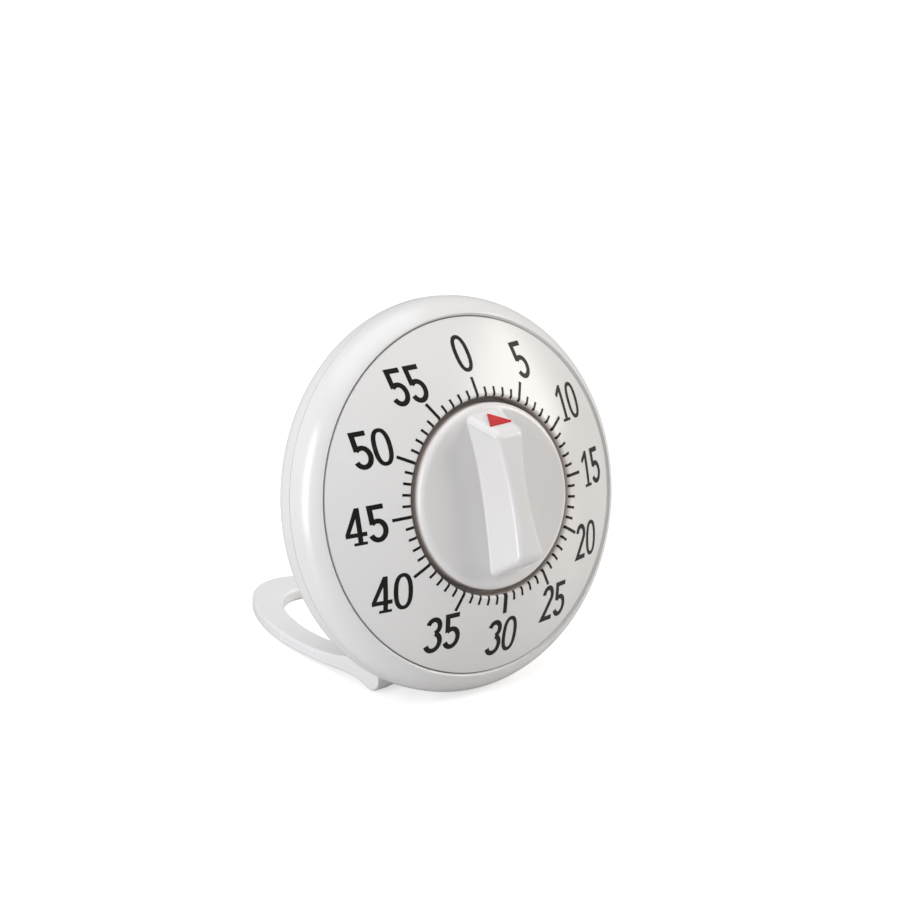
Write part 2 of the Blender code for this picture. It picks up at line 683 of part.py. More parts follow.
def shrink_grip(mesh):
    """Turn a copy of the grip into the hollow inside it, open towards the dial."""
    for vertex in mesh.vertices:
        x, y, z = vertex.co
        vertex.co.x = math.copysign(max(abs(x) - KNOB_WALL, KNOB_WALL / 2), x)
        vertex.co.y = y * GRIP_HOLLOW_LENGTH
        vertex.co.z = z - KNOB_WALL


def d_shaft(name, grow, low, high):
    """The flatted end of the main arbor, or with a clearance the bore that takes it."""
    radius = MAIN_SHAFT_RADIUS + grow
    flat = MAIN_SHAFT_RADIUS * SHAFT_FLAT + grow
    outline = [(x, min(y, flat)) for x, y in circle(radius, 20)]
    return flat_plate(name, [outline], low, high)


# ---------------------------------------------------------------- stand
def half_oval(half_width, middle, length, steps):
    """Points round the far half of an oval, from +X to -X."""
    angles = [math.pi * step / steps for step in range(steps + 1)]
    return [(half_width * math.cos(a), middle + length * math.sin(a)) for a in angles]


def stand_outline():
    """The loop from above, from the knuckles at Y = 0 to the oval far end."""
    half = STAND_HALF_WIDTH
    near = -KNUCKLE_RADIUS - GAP
    points = [(-half, near), (half, near)]
    points += half_oval(half, STAND_REACH - STAND_NOSE, STAND_NOSE, 28)
    return points


def stand_hole():
    half = STAND_HOLE_HALF_WIDTH
    points = [(-half, STAND_HOLE_NEAR), (half, STAND_HOLE_NEAR)]
    points += half_oval(half, STAND_HOLE_FAR - STAND_HOLE_NOSE, STAND_HOLE_NOSE, 22)
    return points


def stand_side():
    """The stand from the side: (Y, Z) with the hinge at the origin and a level foot at the far end."""
    foot = -HINGE_HEIGHT
    points = arc((0.0, 0.0), KNUCKLE_RADIUS, 118.0, 302.0, 12)
    points += [(y, foot + height) for y, height in STAND_LOW_SIDE]
    points += [(STAND_REACH, foot), (STAND_REACH, foot + STAND_FAR_HEIGHT - STAND_END_ROUND)]
    points += [(STAND_REACH - STAND_END_ROUND, foot + STAND_FAR_HEIGHT)]
    points += [(y, foot + height) for y, height in reversed(STAND_HIGH_SIDE)]
    points.append((LUG_RADIUS * 2, foot + STAND_NEAR_HEIGHT))
    return points


def make_stand():
    side = flat_plate("stand", [stand_side()], -STAND_HALF_WIDTH, STAND_HALF_WIDTH)
    # the outline's X is the stand's Y, and its Y is the stand's Z
    side.data.transform(Matrix(((0, 0, 1, 0), (1, 0, 0, 0), (0, 1, 0, 0), (0, 0, 0, 1))))
    finish_mesh(side.data)
    stand = as_part(side, WHITE_PLASTIC)
    place(stand, STAND_FRAME)
    tall = 2 * STAND_NEAR_HEIGHT
    plan = flat_plate("stand_plan", [stand_outline(), stand_hole()], -tall, tall)
    combine(stand, as_cutter(plan, STAND_FRAME), "INTERSECT")
    inner = STAND_HALF_WIDTH - KNUCKLE_WIDTH
    reach = LUG_RADIUS + 3 * GAP
    room = block("lug_room", (-inner, -2 * reach, -2 * reach), (inner, reach, 2 * reach))
    combine(stand, as_cutter(room, STAND_FRAME))
    for side_sign in (-1, 1):
        name = "left" if side_sign < 0 else "right"
        peg = cylinder(f"peg_{name}", PEG_RADIUS, 0.0, PEG_LENGTH + GAP, 16)
        peg.rotation_euler = (0.0, math.radians(-90.0 * side_sign), 0.0)
        peg.location = (side_sign * (inner + GAP), 0.0, 0.0)
        combine(stand, as_cutter(peg, STAND_FRAME), "UNION")


# ---------------------------------------------------------------- movement frame
def make_plates():
    small = SMALL_SCREW_RADIUS + GAP
    pivots = [SECOND_AT, THIRD_AT, ESCAPE_AT, PALLET_AT, HAMMER_PIVOT]
    pivot_holes = [circle(PIVOT_RADIUS + GAP, 10, at) for at in pivots]
    front = [circle(FRONT_PLATE_RADIUS, 36), circle(MAIN_SHAFT_RADIUS + GAP, 16)]
    front += [circle(small, 10, polar(DIAL_BOSS_CIRCLE, angle)) for angle in DIAL_BOSS_ANGLES]
    plate = flat_plate("movement_front_plate", front + pivot_holes, *FRONT_PLATE)
    place(as_part(plate, BRASS), CASE_FRAME)
    rear = [circle(REAR_PLATE_RADIUS, 36), circle(MAIN_PIVOT_RADIUS + GAP, 12)]
    rear += [circle(small, 10, at) for at in PILLARS]
    plate = flat_plate("movement_rear_plate", rear + pivot_holes, *REAR_PLATE)
    place(as_part(plate, BRASS), CASE_FRAME)


def make_pillars():
    low = REAR_PLATE[1] + GAP
    high = FRONT_PLATE[0] - GAP
    bore = SMALL_SCREW_RADIUS + GAP
    end = low + PILLAR_BORE
    profile = [(0.0, high), (PILLAR_RADIUS, high), (PILLAR_RADIUS, low), (bore, low)]
    profile += [(bore, end), (0.0, end)]
    seat = REAR_PLATE[0] - GAP
    screw = screw_profile(
        SMALL_SCREW_HEAD_RADIUS, SMALL_SCREW_RADIUS, seat - SMALL_SCREW_HEAD, seat, end - GAP
    )
    for number, (x, y) in enumerate(PILLARS, 1):
        pillar = as_part(turned(f"pillar_{number}", profile, 16), BRASS)
        place(pillar, CASE_FRAME, (x, y, 0.0))
        holder = as_part(turned(f"pillar_screw_{number}", screw, 12), STEEL)
        place(holder, CASE_FRAME, (x, y, 0.0))


def make_movement_screws():
    seat = FRONT_PLATE[0] - GAP
    tip = PLATE_BOSS_END + MOVEMENT_SCREW_GRIP
    profile = screw_profile(
        SMALL_SCREW_HEAD_RADIUS, SMALL_SCREW_RADIUS, seat - SMALL_SCREW_HEAD, seat, tip
    )
    for number, angle in enumerate(DIAL_BOSS_ANGLES, 1):
        x, y = polar(DIAL_BOSS_CIRCLE, angle)
        screw = as_part(turned(f"movement_screw_{number}", profile, 12), STEEL)
        place(screw, CASE_FRAME, (x, y, 0.0))


# ---------------------------------------------------------------- main arbor and spring
def make_main_arbor():
    collar_low = CLUTCH_LEVEL[1] + GAP
    flange_high = MAIN_LEVEL[0] - GAP
    flange_low = flange_high - MAIN_FLANGE
    shaft_end = KNOB_FRONT + 0.0036
    flat_start = WELL_FLOOR + KNOB_FLOOR_GAP / 2
    profile = [
        (0.0, shaft_end),
        (MAIN_SHAFT_RADIUS, shaft_end),
        (MAIN_SHAFT_RADIUS, SPRING_LEVEL[1]),
        (MAIN_HUB_RADIUS, SPRING_LEVEL[1]),
        (MAIN_HUB_RADIUS, collar_low),
        (MAIN_BODY_RADIUS, collar_low),
        (MAIN_BODY_RADIUS, flange_high),
        (MAIN_FLANGE_RADIUS, flange_high),
        (MAIN_FLANGE_RADIUS, flange_low),
        (MAIN_BODY_RADIUS, flange_low),
        (MAIN_BODY_RADIUS, REAR_PLATE[1] + GAP),
        (MAIN_PIVOT_RADIUS, REAR_PLATE[1] + GAP),
        (MAIN_PIVOT_RADIUS, REAR_PLATE[0] + GAP),
        (0.0, REAR_PLATE[0] + GAP),
    ]
    arbor = as_part(turned("main_arbor", profile, 16), STEEL)
    place(arbor, CASE_FRAME)
    flat = MAIN_SHAFT_RADIUS * SHAFT_FLAT
    cut = block(
        "arbor_flat",
        (-2 * MAIN_SHAFT_RADIUS, flat, flat_start),
        (2 * MAIN_SHAFT_RADIUS, 2 * MAIN_SHAFT_RADIUS, shaft_end + GAP),
    )
    combine(arbor, as_cutter(cut))


def make_mainspring():
    """A flat spiral round the arbor, whose outer end hooks round the spring post."""
    hub_gap = MAIN_HUB_RADIUS + GAP + SPRING_THICKNESS
    post_gap = SPRING_POST_RADIUS + GAP + SPRING_THICKNESS / 2
    outer = SPRING_POST[1] - post_gap
    per_turn = 16
    total = SPRING_TURNS * per_turn
    points = []
    for step in range(total + 1):
        share = step / total
        radius = hub_gap + (outer - hub_gap) * share
        points.append(polar(radius, 90.0 + 360.0 * SPRING_TURNS * (share - 1)))
    points += arc(SPRING_POST, post_gap, -90.0, -250.0, 7)[1:]
    curve = bpy.data.curves.new("mainspring", "CURVE")
    curve.dimensions = "3D"
    curve.extrude = (SPRING_LEVEL[1] - SPRING_LEVEL[0]) / 2 - GAP
    spline = curve.splines.new("POLY")
    spline.points.add(len(points) - 1)
    for point, (x, y) in zip(spline.points, points):
        point.co = (x, y, 0.0, 1.0)
    guide = bpy.data.objects.new("mainspring", curve)
    mesh = evaluated_mesh(guide)
    bpy.data.objects.remove(guide)
    mesh.transform(Matrix.Translation((0.0, 0.0, sum(SPRING_LEVEL) / 2)))
    finish_mesh(mesh)
    mesh.name = "mainspring"
    spring = as_part(bpy.data.objects.new("mainspring", mesh), SPRING_STEEL)
    place(spring, CASE_FRAME)
    strip = spring.modifiers.new("strip", "SOLIDIFY")
    strip.thickness = SPRING_THICKNESS
    strip.offset = 0.0
    post = cylinder("spring_post", SPRING_POST_RADIUS, SPRING_LEVEL[0], FRONT_PLATE[0] - GAP, 14)
    place(as_part(post, STEEL), CASE_FRAME, (*SPRING_POST, 0.0))


def make_clutch_and_cam():
    bore = MAIN_BODY_RADIUS + GAP
    low, high = CLUTCH_LEVEL
    middle = (low + high) / 2
    ring = [(CLUTCH_RADIUS, middle), (CLUTCH_RADIUS, low), (CLUTCH_RADIUS - CLUTCH_LIP, low)]
    ring += [(bore, middle), (bore, high), (MAIN_HUB_RADIUS, high)]
    place(as_part(turned("clutch_spring", ring, 20), SPRING_STEEL), CASE_FRAME)
    rim = []
    for angle in range(0, 360, 10):
        in_notch = CAM_NOTCH[0] <= angle <= CAM_NOTCH[1]
        rim.append(polar(CAM_RADIUS * (CAM_NOTCH_SHARE if in_notch else 1.0), angle))
    cam = flat_plate("stop_cam", [rim, circle(bore, 16)], *CAM_LEVEL)
    place(as_part(cam, BRASS), CASE_FRAME)


# ---------------------------------------------------------------- wheels and pinions
def gear_outline(teeth, start):
    """Straight-flanked teeth with plenty of backlash; one tooth is centred at the start angle."""
    pitch = PITCH_RADIUS[teeth]
    root = pitch - 1.15 * MODULE
    tip = pitch + 0.62 * MODULE
    step = 360.0 / teeth
    shares = ((root, -0.22), (tip, -0.10), (tip, 0.10), (root, 0.22))
    points = []
    for tooth in range(teeth):
        points += [polar(radius, start + step * (tooth + share)) for radius, share in shares]
    return points


def wheel(name, teeth, level, at, towards, bore, finish):
    """A wheel whose tooth points along the line of centres towards its pinion."""
    pitch = PITCH_RADIUS[teeth]
    outlines = [gear_outline(teeth, towards), circle(bore, 16)]
    for number in range(WHEEL_HOLES):
        centre = polar(pitch * WHEEL_HOLE_CIRCLE, 360.0 * (number + 0.5) / WHEEL_HOLES)
        outlines.append(circle(pitch * WHEEL_HOLE_RADIUS, 8, centre))
    made = as_part(flat_plate(name, outlines, *level), finish)
    return place(made, CASE_FRAME, (*at, 0.0))


def arbor_profile():
    high = FRONT_PLATE[0] - GAP
    low = REAR_PLATE[1] + GAP
    return [
        (0.0, FRONT_PLATE[1] - GAP),
        (PIVOT_RADIUS, FRONT_PLATE[1] - GAP),
        (PIVOT_RADIUS, high),
        (ARBOR_RADIUS, high),
        (ARBOR_RADIUS, low),
        (PIVOT_RADIUS, low),
        (PIVOT_RADIUS, REAR_PLATE[0] + GAP),
        (0.0, REAR_PLATE[0] + GAP),
    ]


def pinion_arbor(name, level, at, towards):
    """An arbor with its pinion, whose gap between leaves faces the wheel that drives it."""
    arbor = as_part(turned(name, arbor_profile(), 12), STEEL)
    place(arbor, CASE_FRAME, (*at, 0.0))
    start = towards + 180.0 / PINION_LEAVES
    leaves = flat_plate(f"{name}_leaves", [gear_outline(PINION_LEAVES, start)], *level)
    as_cutter(leaves)
    leaves.location = (*at, 0.0)
    combine(arbor, leaves, "UNION")


def plain_arbor(name, at):
    arbor = as_part(turned(name, arbor_profile(), 12), STEEL)
    place(arbor, CASE_FRAME, (*at, 0.0))


def make_train():
    bore = ARBOR_RADIUS + GAP
    main_bore = MAIN_BODY_RADIUS + GAP
    wheel("main_wheel", MAIN_TEETH, MAIN_LEVEL, (0.0, 0.0), SECOND_ANGLE, main_bore, BRASS)
    pinion_arbor("second_arbor", SECOND_PINION_LEVEL, SECOND_AT, SECOND_ANGLE + 180.0)
    wheel("second_wheel", WHEEL_TEETH, SECOND_LEVEL, SECOND_AT, THIRD_ANGLE, bore, NATURAL_NYLON)
    pinion_arbor("third_arbor", THIRD_PINION_LEVEL, THIRD_AT, THIRD_ANGLE + 180.0)
    wheel("third_wheel", WHEEL_TEETH, THIRD_LEVEL, THIRD_AT, ESCAPE_ANGLE, bore, NATURAL_NYLON)
    pinion_arbor("escape_arbor", ESCAPE_PINION_LEVEL, ESCAPE_AT, ESCAPE_ANGLE + 180.0)
    teeth = []
    step = 360.0 / ESCAPE_TEETH
    for tooth in range(ESCAPE_TEETH):
        teeth.append(polar(ESCAPE_ROOT_RADIUS, step * tooth))
        teeth.append(polar(ESCAPE_TIP_RADIUS, step * (tooth + 0.62)))
        teeth.append(polar(ESCAPE_TIP_RADIUS, step * (tooth + 0.74)))
    escape = flat_plate("escape_wheel", [teeth, circle(bore, 12)], *ESCAPE_LEVEL)
    place(as_part(escape, NATURAL_NYLON), CASE_FRAME, (*ESCAPE_AT, 0.0))


def make_pallet():
    """The lever that the escape wheel rocks, drawn with the escape wheel towards -X."""
    upper = [(-0.0039, 0.0043), (-0.0032, 0.0049), (0.0010, 0.0020), (0.0075, 0.0016)]
    lower = [(x, -y) for x, y in reversed(upper)]
    outline = upper + lower + [(-0.0019, -0.0013), (-0.0019, 0.0013)]
    lever = flat_plate("pallet_lever", [outline, circle(ARBOR_RADIUS + GAP, 12)], *ESCAPE_LEVEL)
    place(as_part(lever, STEEL), CASE_FRAME, (*PALLET_AT, 0.0), PALLET_ANGLE - 360.0)
    plain_arbor("pallet_arbor", PALLET_AT)


# ---------------------------------------------------------------- bell and hammer
def make_bell():
    rim = -BELL_RIM_DEPTH
    crown = -BELL_CROWN_DEPTH
    wall = BELL_THICKNESS
    bore = SMALL_SCREW_RADIUS + GAP
    corner = (BELL_RADIUS - BELL_ROUND, crown + BELL_ROUND)
    profile = [(BELL_RADIUS, rim), *arc(corner, BELL_ROUND, 0.0, -90.0, 3)]
    profile += [(bore, crown), (bore, crown + wall)]
    profile += [*arc(corner, BELL_ROUND - wall, -90.0, 0.0, 3), (BELL_RADIUS - wall, rim)]
    bell = as_part(turned("bell", profile, 40), BELL_STEEL)
    place(bell, CASE_FRAME, (*BELL_CENTRE, 0.0))
    post_high = REAR_PLATE[0] - GAP
    post_low = crown + wall + GAP
    post_bore = post_low + BELL_POST_BORE
    post = [(0.0, post_high), (BELL_POST_RADIUS, post_high), (BELL_POST_RADIUS, post_low)]
    post += [(bore, post_low), (bore, post_bore), (0.0, post_bore)]
    place(as_part(turned("bell_post", post, 20), STEEL), CASE_FRAME, (*BELL_CENTRE, 0.0))
    seat = crown - GAP
    head = seat - BELL_SCREW_HEAD
    screw = screw_profile(
        SMALL_SCREW_HEAD_RADIUS, SMALL_SCREW_RADIUS, head, seat, post_bore - GAP
    )
    place(as_part(turned("bell_screw", screw, 12), STEEL), CASE_FRAME, (*BELL_CENTRE, 0.0))


def bar_outline(start, end, half):
    """A straight bar with round ends between two points."""
    angle = math.degrees(math.atan2(end[1] - start[1], end[0] - start[0]))
    points = arc(end, half, angle - 90.0, angle + 90.0, 6)
    points += arc(start, half, angle + 90.0, angle + 270.0, 6)
    return points


def make_hammer():
    """Tail beside the cam, arm out past the rear plate, and a head down beside the bell's rim."""
    pivot = (0.0, 0.0)
    half = HAMMER_ARM_HALF_WIDTH
    head = (HAMMER_HEAD_AT[0] - HAMMER_PIVOT[0], HAMMER_HEAD_AT[1] - HAMMER_PIVOT[1])
    away = math.hypot(*HAMMER_PIVOT)
    stand_off = CAM_RADIUS + CAM_CLEARANCE + half
    bearing = math.atan2(HAMMER_PIVOT[1], HAMMER_PIVOT[0]) - math.acos(stand_off / away)
    tail = (
        stand_off * math.cos(bearing) - HAMMER_PIVOT[0],
        stand_off * math.sin(bearing) - HAMMER_PIVOT[1],
    )
    lever = flat_plate("hammer_lever", [circle(2 * half, 16)], *CAM_LEVEL)
    place(as_part(lever, STEEL), CASE_FRAME, (*HAMMER_PIVOT, 0.0))
    pieces = [flat_plate("hammer_tail", [bar_outline(pivot, tail, half)], *CAM_LEVEL)]
    pieces.append(flat_plate("hammer_arm", [bar_outline(pivot, head, half)], *CAM_LEVEL))
    low = -BELL_RIM_DEPTH - HAMMER_REACH
    pieces.append(cylinder("hammer_head", HAMMER_HEAD_RADIUS, low, CAM_LEVEL[1], 16))
    pieces[2].location = (*head, 0.0)
    for piece in pieces:
        as_cutter(piece)
        piece.location += Vector((*HAMMER_PIVOT, 0.0))
        combine(lever, piece, "UNION")
    bore = cylinder("hammer_bore", ARBOR_RADIUS + GAP, CAM_LEVEL[0] - GAP, CAM_LEVEL[1] + GAP, 12)
    as_cutter(bore)
    bore.location = (*HAMMER_PIVOT, 0.0)
    combine(lever, bore)
    plain_arbor("hammer_arbor", HAMMER_PIVOT)


make_front_shell()
make_rear_cover()
make_case_screws()
make_dial_plate()
make_knob()
make_stand()
make_plates()
make_pillars()
make_movement_screws()
make_main_arbor()
make_mainspring()
make_clutch_and_cam()
make_train()
make_pallet()
make_bell()
make_hammer()
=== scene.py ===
"""Looks of the kitchen timer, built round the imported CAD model.

Case pieces are made in the case's own frame: X towards 3 o'clock, Y towards 12 o'clock, Z out of
the dial, with Z = 0 in the plane of the groove round the dial. The stand is made in the frame of
its hinge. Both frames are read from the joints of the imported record. Lengths are in metres.
"""

import json
import math

import bmesh
import bpy
from mathutils import Matrix, Vector


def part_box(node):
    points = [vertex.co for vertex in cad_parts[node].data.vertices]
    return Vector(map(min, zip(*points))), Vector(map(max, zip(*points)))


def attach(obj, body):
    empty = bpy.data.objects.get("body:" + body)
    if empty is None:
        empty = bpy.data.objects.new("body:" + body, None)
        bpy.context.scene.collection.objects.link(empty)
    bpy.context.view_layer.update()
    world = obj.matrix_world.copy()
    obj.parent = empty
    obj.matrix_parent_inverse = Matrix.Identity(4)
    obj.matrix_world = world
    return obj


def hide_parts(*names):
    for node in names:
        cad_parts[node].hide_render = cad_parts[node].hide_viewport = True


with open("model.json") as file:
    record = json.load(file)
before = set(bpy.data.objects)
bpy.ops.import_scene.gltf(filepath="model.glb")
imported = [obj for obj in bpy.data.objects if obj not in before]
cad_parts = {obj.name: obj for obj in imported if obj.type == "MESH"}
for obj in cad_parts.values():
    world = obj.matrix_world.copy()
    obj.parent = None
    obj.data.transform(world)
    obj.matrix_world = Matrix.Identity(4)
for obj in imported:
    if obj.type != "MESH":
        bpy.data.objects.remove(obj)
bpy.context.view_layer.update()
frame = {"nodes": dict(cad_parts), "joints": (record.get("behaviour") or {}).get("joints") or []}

# ---------------------------------------------------------------- sizes
MM = 0.001
ROUND_STEPS = 192
ARC_STEP = math.radians(15.0)
FINE_EDGE = 0.0003

# case; radii and depths in the case's frame
CASE_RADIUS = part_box("front_shell")[1].x
GROOVE_RADIUS = 0.0536
GROOVE_WIDTH = 0.00022
RIM_ROUND = 0.0112
RIM_CROWN = 0.0018
RIM_WALL = 0.0022
RIM_EDGE_ROUND = 0.0009
PARTING_DEPTH = 0.0086
PARTING_LINE = 0.00014
LEDGE_INNER_RADIUS = 0.0468
LEDGE_HIGH = -0.0023
LEDGE_LOW = -0.0043
REAR_FACE_DEPTH = 0.0175
REAR_ROUND = 0.0060
REAR_WALL = 0.0018
PLATEAU_RADIUS = 0.0420
PLATEAU_DEPTH = 0.0240
PLATEAU_ROUND = 0.0018
LIP_HEIGHT = 0.0020
LIP_WALL = 0.0015
SOUND_SLOT_COUNT = 8
SOUND_SLOT_ENDS = (0.0180, 0.0280)
SOUND_SLOT_WIDTH = 0.0024
CASE_SCREW_CIRCLE = 0.0500
CASE_SCREW_ANGLES = (90.0, 210.0, 330.0)
CASE_SCREW_SEAT = -0.0142
CASE_SCREW_HEAD_RADIUS = 0.0029
CASE_SCREW_HEAD = 0.0018
CASE_SCREW_HEAD_FLAT = 0.0021
CASE_SCREW_HEAD_SIDE = 0.0006
CASE_SCREW_HEAD_ROUNDS = (0.0002, 0.0004, 0.0006)
CASE_SCREW_SHANK_RADIUS = 0.0015
CASE_SCREW_POINT_RADIUS = 0.0009
CASE_SCREW_POINT = 0.0009
CASE_SCREW_ROOM = 0.0003
CASE_SCREW_TIP_BELOW = 0.0006
CASE_SCREW_BORE_RADIUS = 0.0018
CASE_SCREW_BOSS_RADIUS = 0.0035
CASE_SCREW_POST_RADIUS = 0.0048
CASE_SCREW_MOUTH_RADIUS = 0.0032
CASE_SCREW_MOUTH_CHAMFER = 0.0005
RECESS_HALF_LENGTH = 0.0016
RECESS_HALF_WIDTH = 0.00032
RECESS_DEPTH = 0.0012
RECESS_OVERCUT = 0.0004
RECESS_TAPER = 0.45
LUG_INNER = 0.0152
LUG_OUTER = 0.0217
LUG_RADIUS = 0.0043
LUG_EDGE_ROUND = 0.0004
SOCKET_RADIUS = 0.0020
SOCKET_END_ROOM = 0.0004
SOCKET_OVERCUT = 0.0010
HINGE_BELOW = 0.0516
HINGE_DEPTH = 0.0266

# dial
DIAL_SAG = 0.0150
DIAL_THICKNESS = 0.0020
DIAL_EDGE = 0.0008
DIAL_EDGE_ROUND = 0.0005
DIAL_STEPS = 24
WELL_RADIUS = 0.0296
WELL_EDGE_ROUND = 0.0009
WELL_FLOOR = 0.0040
WELL_FOOT_ROUND = 0.0006
WELL_WALL = 0.0015
DIAL_HOLE_RADIUS = 0.0050

# print on the dial
INK = 0.00005
MARK_DIAL_STEPS = 6
MARK_EDGE_STEPS = 11
MARK_END_ANGLE = 150.0
MINUTES = 60
MAJOR_EVERY = 5
MARK_ENDS = (0.0359, 0.0326)
MARK_WIDTHS = (0.00094, 0.00078)
HALF_HOUR_WIDTH = 0.00140
NUMERAL_CIRCLE = 0.0430
DIGIT_PITCH = 0.0059
DIGIT_HALF_HEIGHT = 0.0055
DIGIT_SLICE = 0.0009
DIGIT_SLICES_ACROSS = (-0.0032, 0.0032)
DIGIT_SLICES_UP = (-0.0054, 0.0055)

# knob
KNOB_RADIUS = 0.0279
KNOB_FRONT = 0.0120
KNOB_EDGE_ROUND = 0.0020
KNOB_WALL = 0.0020
KNOB_SKIRT_END = 0.0050
KNOB_SKIRT_ROUND = 0.0004
KNOB_UNDER_ROUND = 0.0006
HUB_RADIUS = 0.0038
HUB_EDGE_ROUND = 0.0002
HUB_BORE_RADIUS = 0.0023
HUB_BORE_RISE = 0.0040
GRIP_TOP_HALF_LENGTHS = (0.0190, 0.0200)
GRIP_BASE_HALF_LENGTHS = (0.0237, 0.0253)
GRIP_TOP_HEIGHTS = (0.0256, 0.0234)
GRIP_TOP_HALF_WIDTHS = (0.0052, 0.0033, 0.0052)
GRIP_BASE_HALF_WIDTHS = (0.0058, 0.0047, 0.0070)
GRIP_EDGE_ROUND = 0.0020
GRIP_CORNER_ROUND = 0.0024
GRIP_FILLET = 0.0006
GRIP_ROOT = 0.0006
GRIP_LEVELS = (0.25, 0.4, 0.55, 0.68, 0.78)
GRIP_SIDE_STEPS = 28
GRIP_FILLET_STEPS = 5
GRIP_EDGE_STEPS = 7
POINTER_HALF_WIDTH = 0.0041
POINTER_TOP = 0.0194
POINTER_TIP = 0.0133
POINTER_PROUD = 0.00006
POINTER_DEPTH = 0.0004
POINTER_CORNER_ROUND = 0.00015
POINTER_TIP_ROUND = 0.00010

# painted shade in the gap round the knob: the plastic inside the gap is darkened to a grey that stands
# in for its shadow
GAP_PAINTED_SHADE = (0.62, 0.57, 0.55)
GAP_BLEND = 0.0002
KNOB_PAINTED_SHADE_BELOW = 0.0102

# stand
STAND_HALF_WIDTH = 0.0280
STAND_REACH = 0.0902
STAND_NOSE = 0.0625
STAND_HOLE_HALF_WIDTH = 0.0188
STAND_HOLE_NEAR = 0.0098
STAND_HOLE_FAR = 0.0764
STAND_HOLE_NOSE = 0.0422
STAND_HOLE_CORNER = 0.0015
STAND_BLANK = 0.0040
STAND_SLICE = 0.0015
STAND_FINE_SLICE = 0.0004
STAND_FINE_SLICES_END = 0.0016
STAND_EDGE_ROUND = 0.0009
KNUCKLE_RADIUS = 0.0046
KNUCKLE_INNER = 0.0220
LUG_ROOM = 0.0052
PEG_RADIUS = 0.0017
PEG_LENGTH = 0.0036
PEG_ROOT = 0.0005

# upper and lower sides of the stand: (distance behind the hinge, height over the ground)
STAND_HIGH = ((-0.0022, 0.00900), (0.0086, 0.00870), (0.0120, 0.00770), (0.0192, 0.00614))
STAND_HIGH += ((0.0300, 0.00490), (0.0440, 0.00430), (STAND_REACH, 0.00380))
STAND_LOW = ((0.0025, 0.00106), (0.0086, 0.00224), (0.0250, 0.00134), (0.0602, 0.0), (STAND_REACH, 0.0))

# camera, from the groove's centre, in the view's own directions
CAMERA_LENS = 120.0
CAMERA_SENSOR = 36.0
CAMERA_AZIMUTH = math.radians(-38.55)
CAMERA_ELEVATION = math.radians(18.15)
CAMERA_OFFSET = (-0.006274, 0.013398, 0.89939)

# stage; a light is its place, its two sides, its power and its colour
FLOOR_HALF_SIZE = 30.0
FLOOR_BELOW = 0.00002
FLOOR_GLOW = 0.62
SURROUNDINGS = 0.37
LIGHT_TARGET = (0.0, 0.0, 0.06)
LIGHTS = {
    "left": ((-1.3, -0.25, 0.35), (0.4, 1.5), 14.2, (1.0, 1.0, 1.0)),
    "right": ((1.2, -0.7, 0.6), (0.8, 0.8), 10.4, (1.0, 0.95, 0.86)),
    "top": ((0.0, 0.1, 1.3), (1.2, 1.2), 7.0, (1.0, 1.0, 1.0)),
}


# ---------------------------------------------------------------- frames
def joint(name):
    return next(item for item in frame["joints"] if item["name"] == name)


def case_frame():
    """Matrix of the case's frame, from the knob's axis, which points to the rear."""
    knob = joint("knob_turn")
    outward = -Vector(knob["axis"]).normalized()
    across = Vector((1.0, 0.0, 0.0))
    matrix = Matrix((across, outward.cross(across), outward)).transposed().to_4x4()
    matrix.translation = Vector(knob["pos_m"]) - KNOB_FRONT * outward
    return matrix


CASE = case_frame()
OUTWARD = CASE.to_3x3() @ Vector((0.0, 0.0, 1.0))
STAND = Matrix.Translation(joint("stand_fold")["pos_m"])
HINGE_HEIGHT = STAND.translation.z


# ---------------------------------------------------------------- outlines
def rounded(corners, closed=True):
    """Points along (x, y, radius) corners, each corner replaced by an arc of its radius."""
    points = []
    last = len(corners) - 1
    for index, (x, y, radius) in enumerate(corners):
        here = Vector((x, y))
        if radius == 0 or (not closed and index in (0, last)):
            points.append((x, y))
            continue
        back = (Vector(corners[index - 1][:2]) - here).normalized()
        ahead = (Vector(corners[(index + 1) % (last + 1)][:2]) - here).normalized()
        half = back.angle(ahead) / 2
        centre = here + (back + ahead).normalized() * radius / math.sin(half)
        start = here + back * radius / math.tan(half) - centre
        end = here + ahead * radius / math.tan(half) - centre
        turn = math.pi - 2 * half
        steps = max(2, math.ceil(turn / ARC_STEP))
        for step in range(steps + 1):
            share = step / steps
            mixed = start * math.sin((1 - share) * turn) + end * math.sin(share * turn)
            points.append(tuple(centre + mixed / math.sin(turn)))
    return points


def bowl(centre, half_width, half_height, start, end, steps=22):
    """Points round part of an ellipse, from one angle to another in degrees."""
    angles = [math.radians(start + (end - start) * step / steps) for step in range(steps + 1)]
    x, y = centre
    return [(x + half_width * math.cos(a), y + half_height * math.sin(a)) for a in angles]


def arc(centre, radius, start, end, steps):
    """Points on a circle from one angle to another in degrees."""
    return bowl(centre, radius, radius, start, end, steps)


def smooth_points(points):
    """The points of a curve as corners for rounded(), left as they are."""
    return [(x, y, 0.0) for x, y in points]


def polar(radius, degrees):
    angle = math.radians(degrees)
    return Vector((radius * math.cos(angle), radius * math.sin(angle), 0.0))


# ---------------------------------------------------------------- mesh helpers
def new_object(name, mesh, matrix=CASE):
    obj = bpy.data.objects.new(name, mesh)
    bpy.context.scene.collection.objects.link(obj)
    obj.matrix_world = matrix
    return obj


def mesh_from(work, name):
    mesh = bpy.data.meshes.new(name)
    work.to_mesh(mesh)
    work.free()
    return mesh


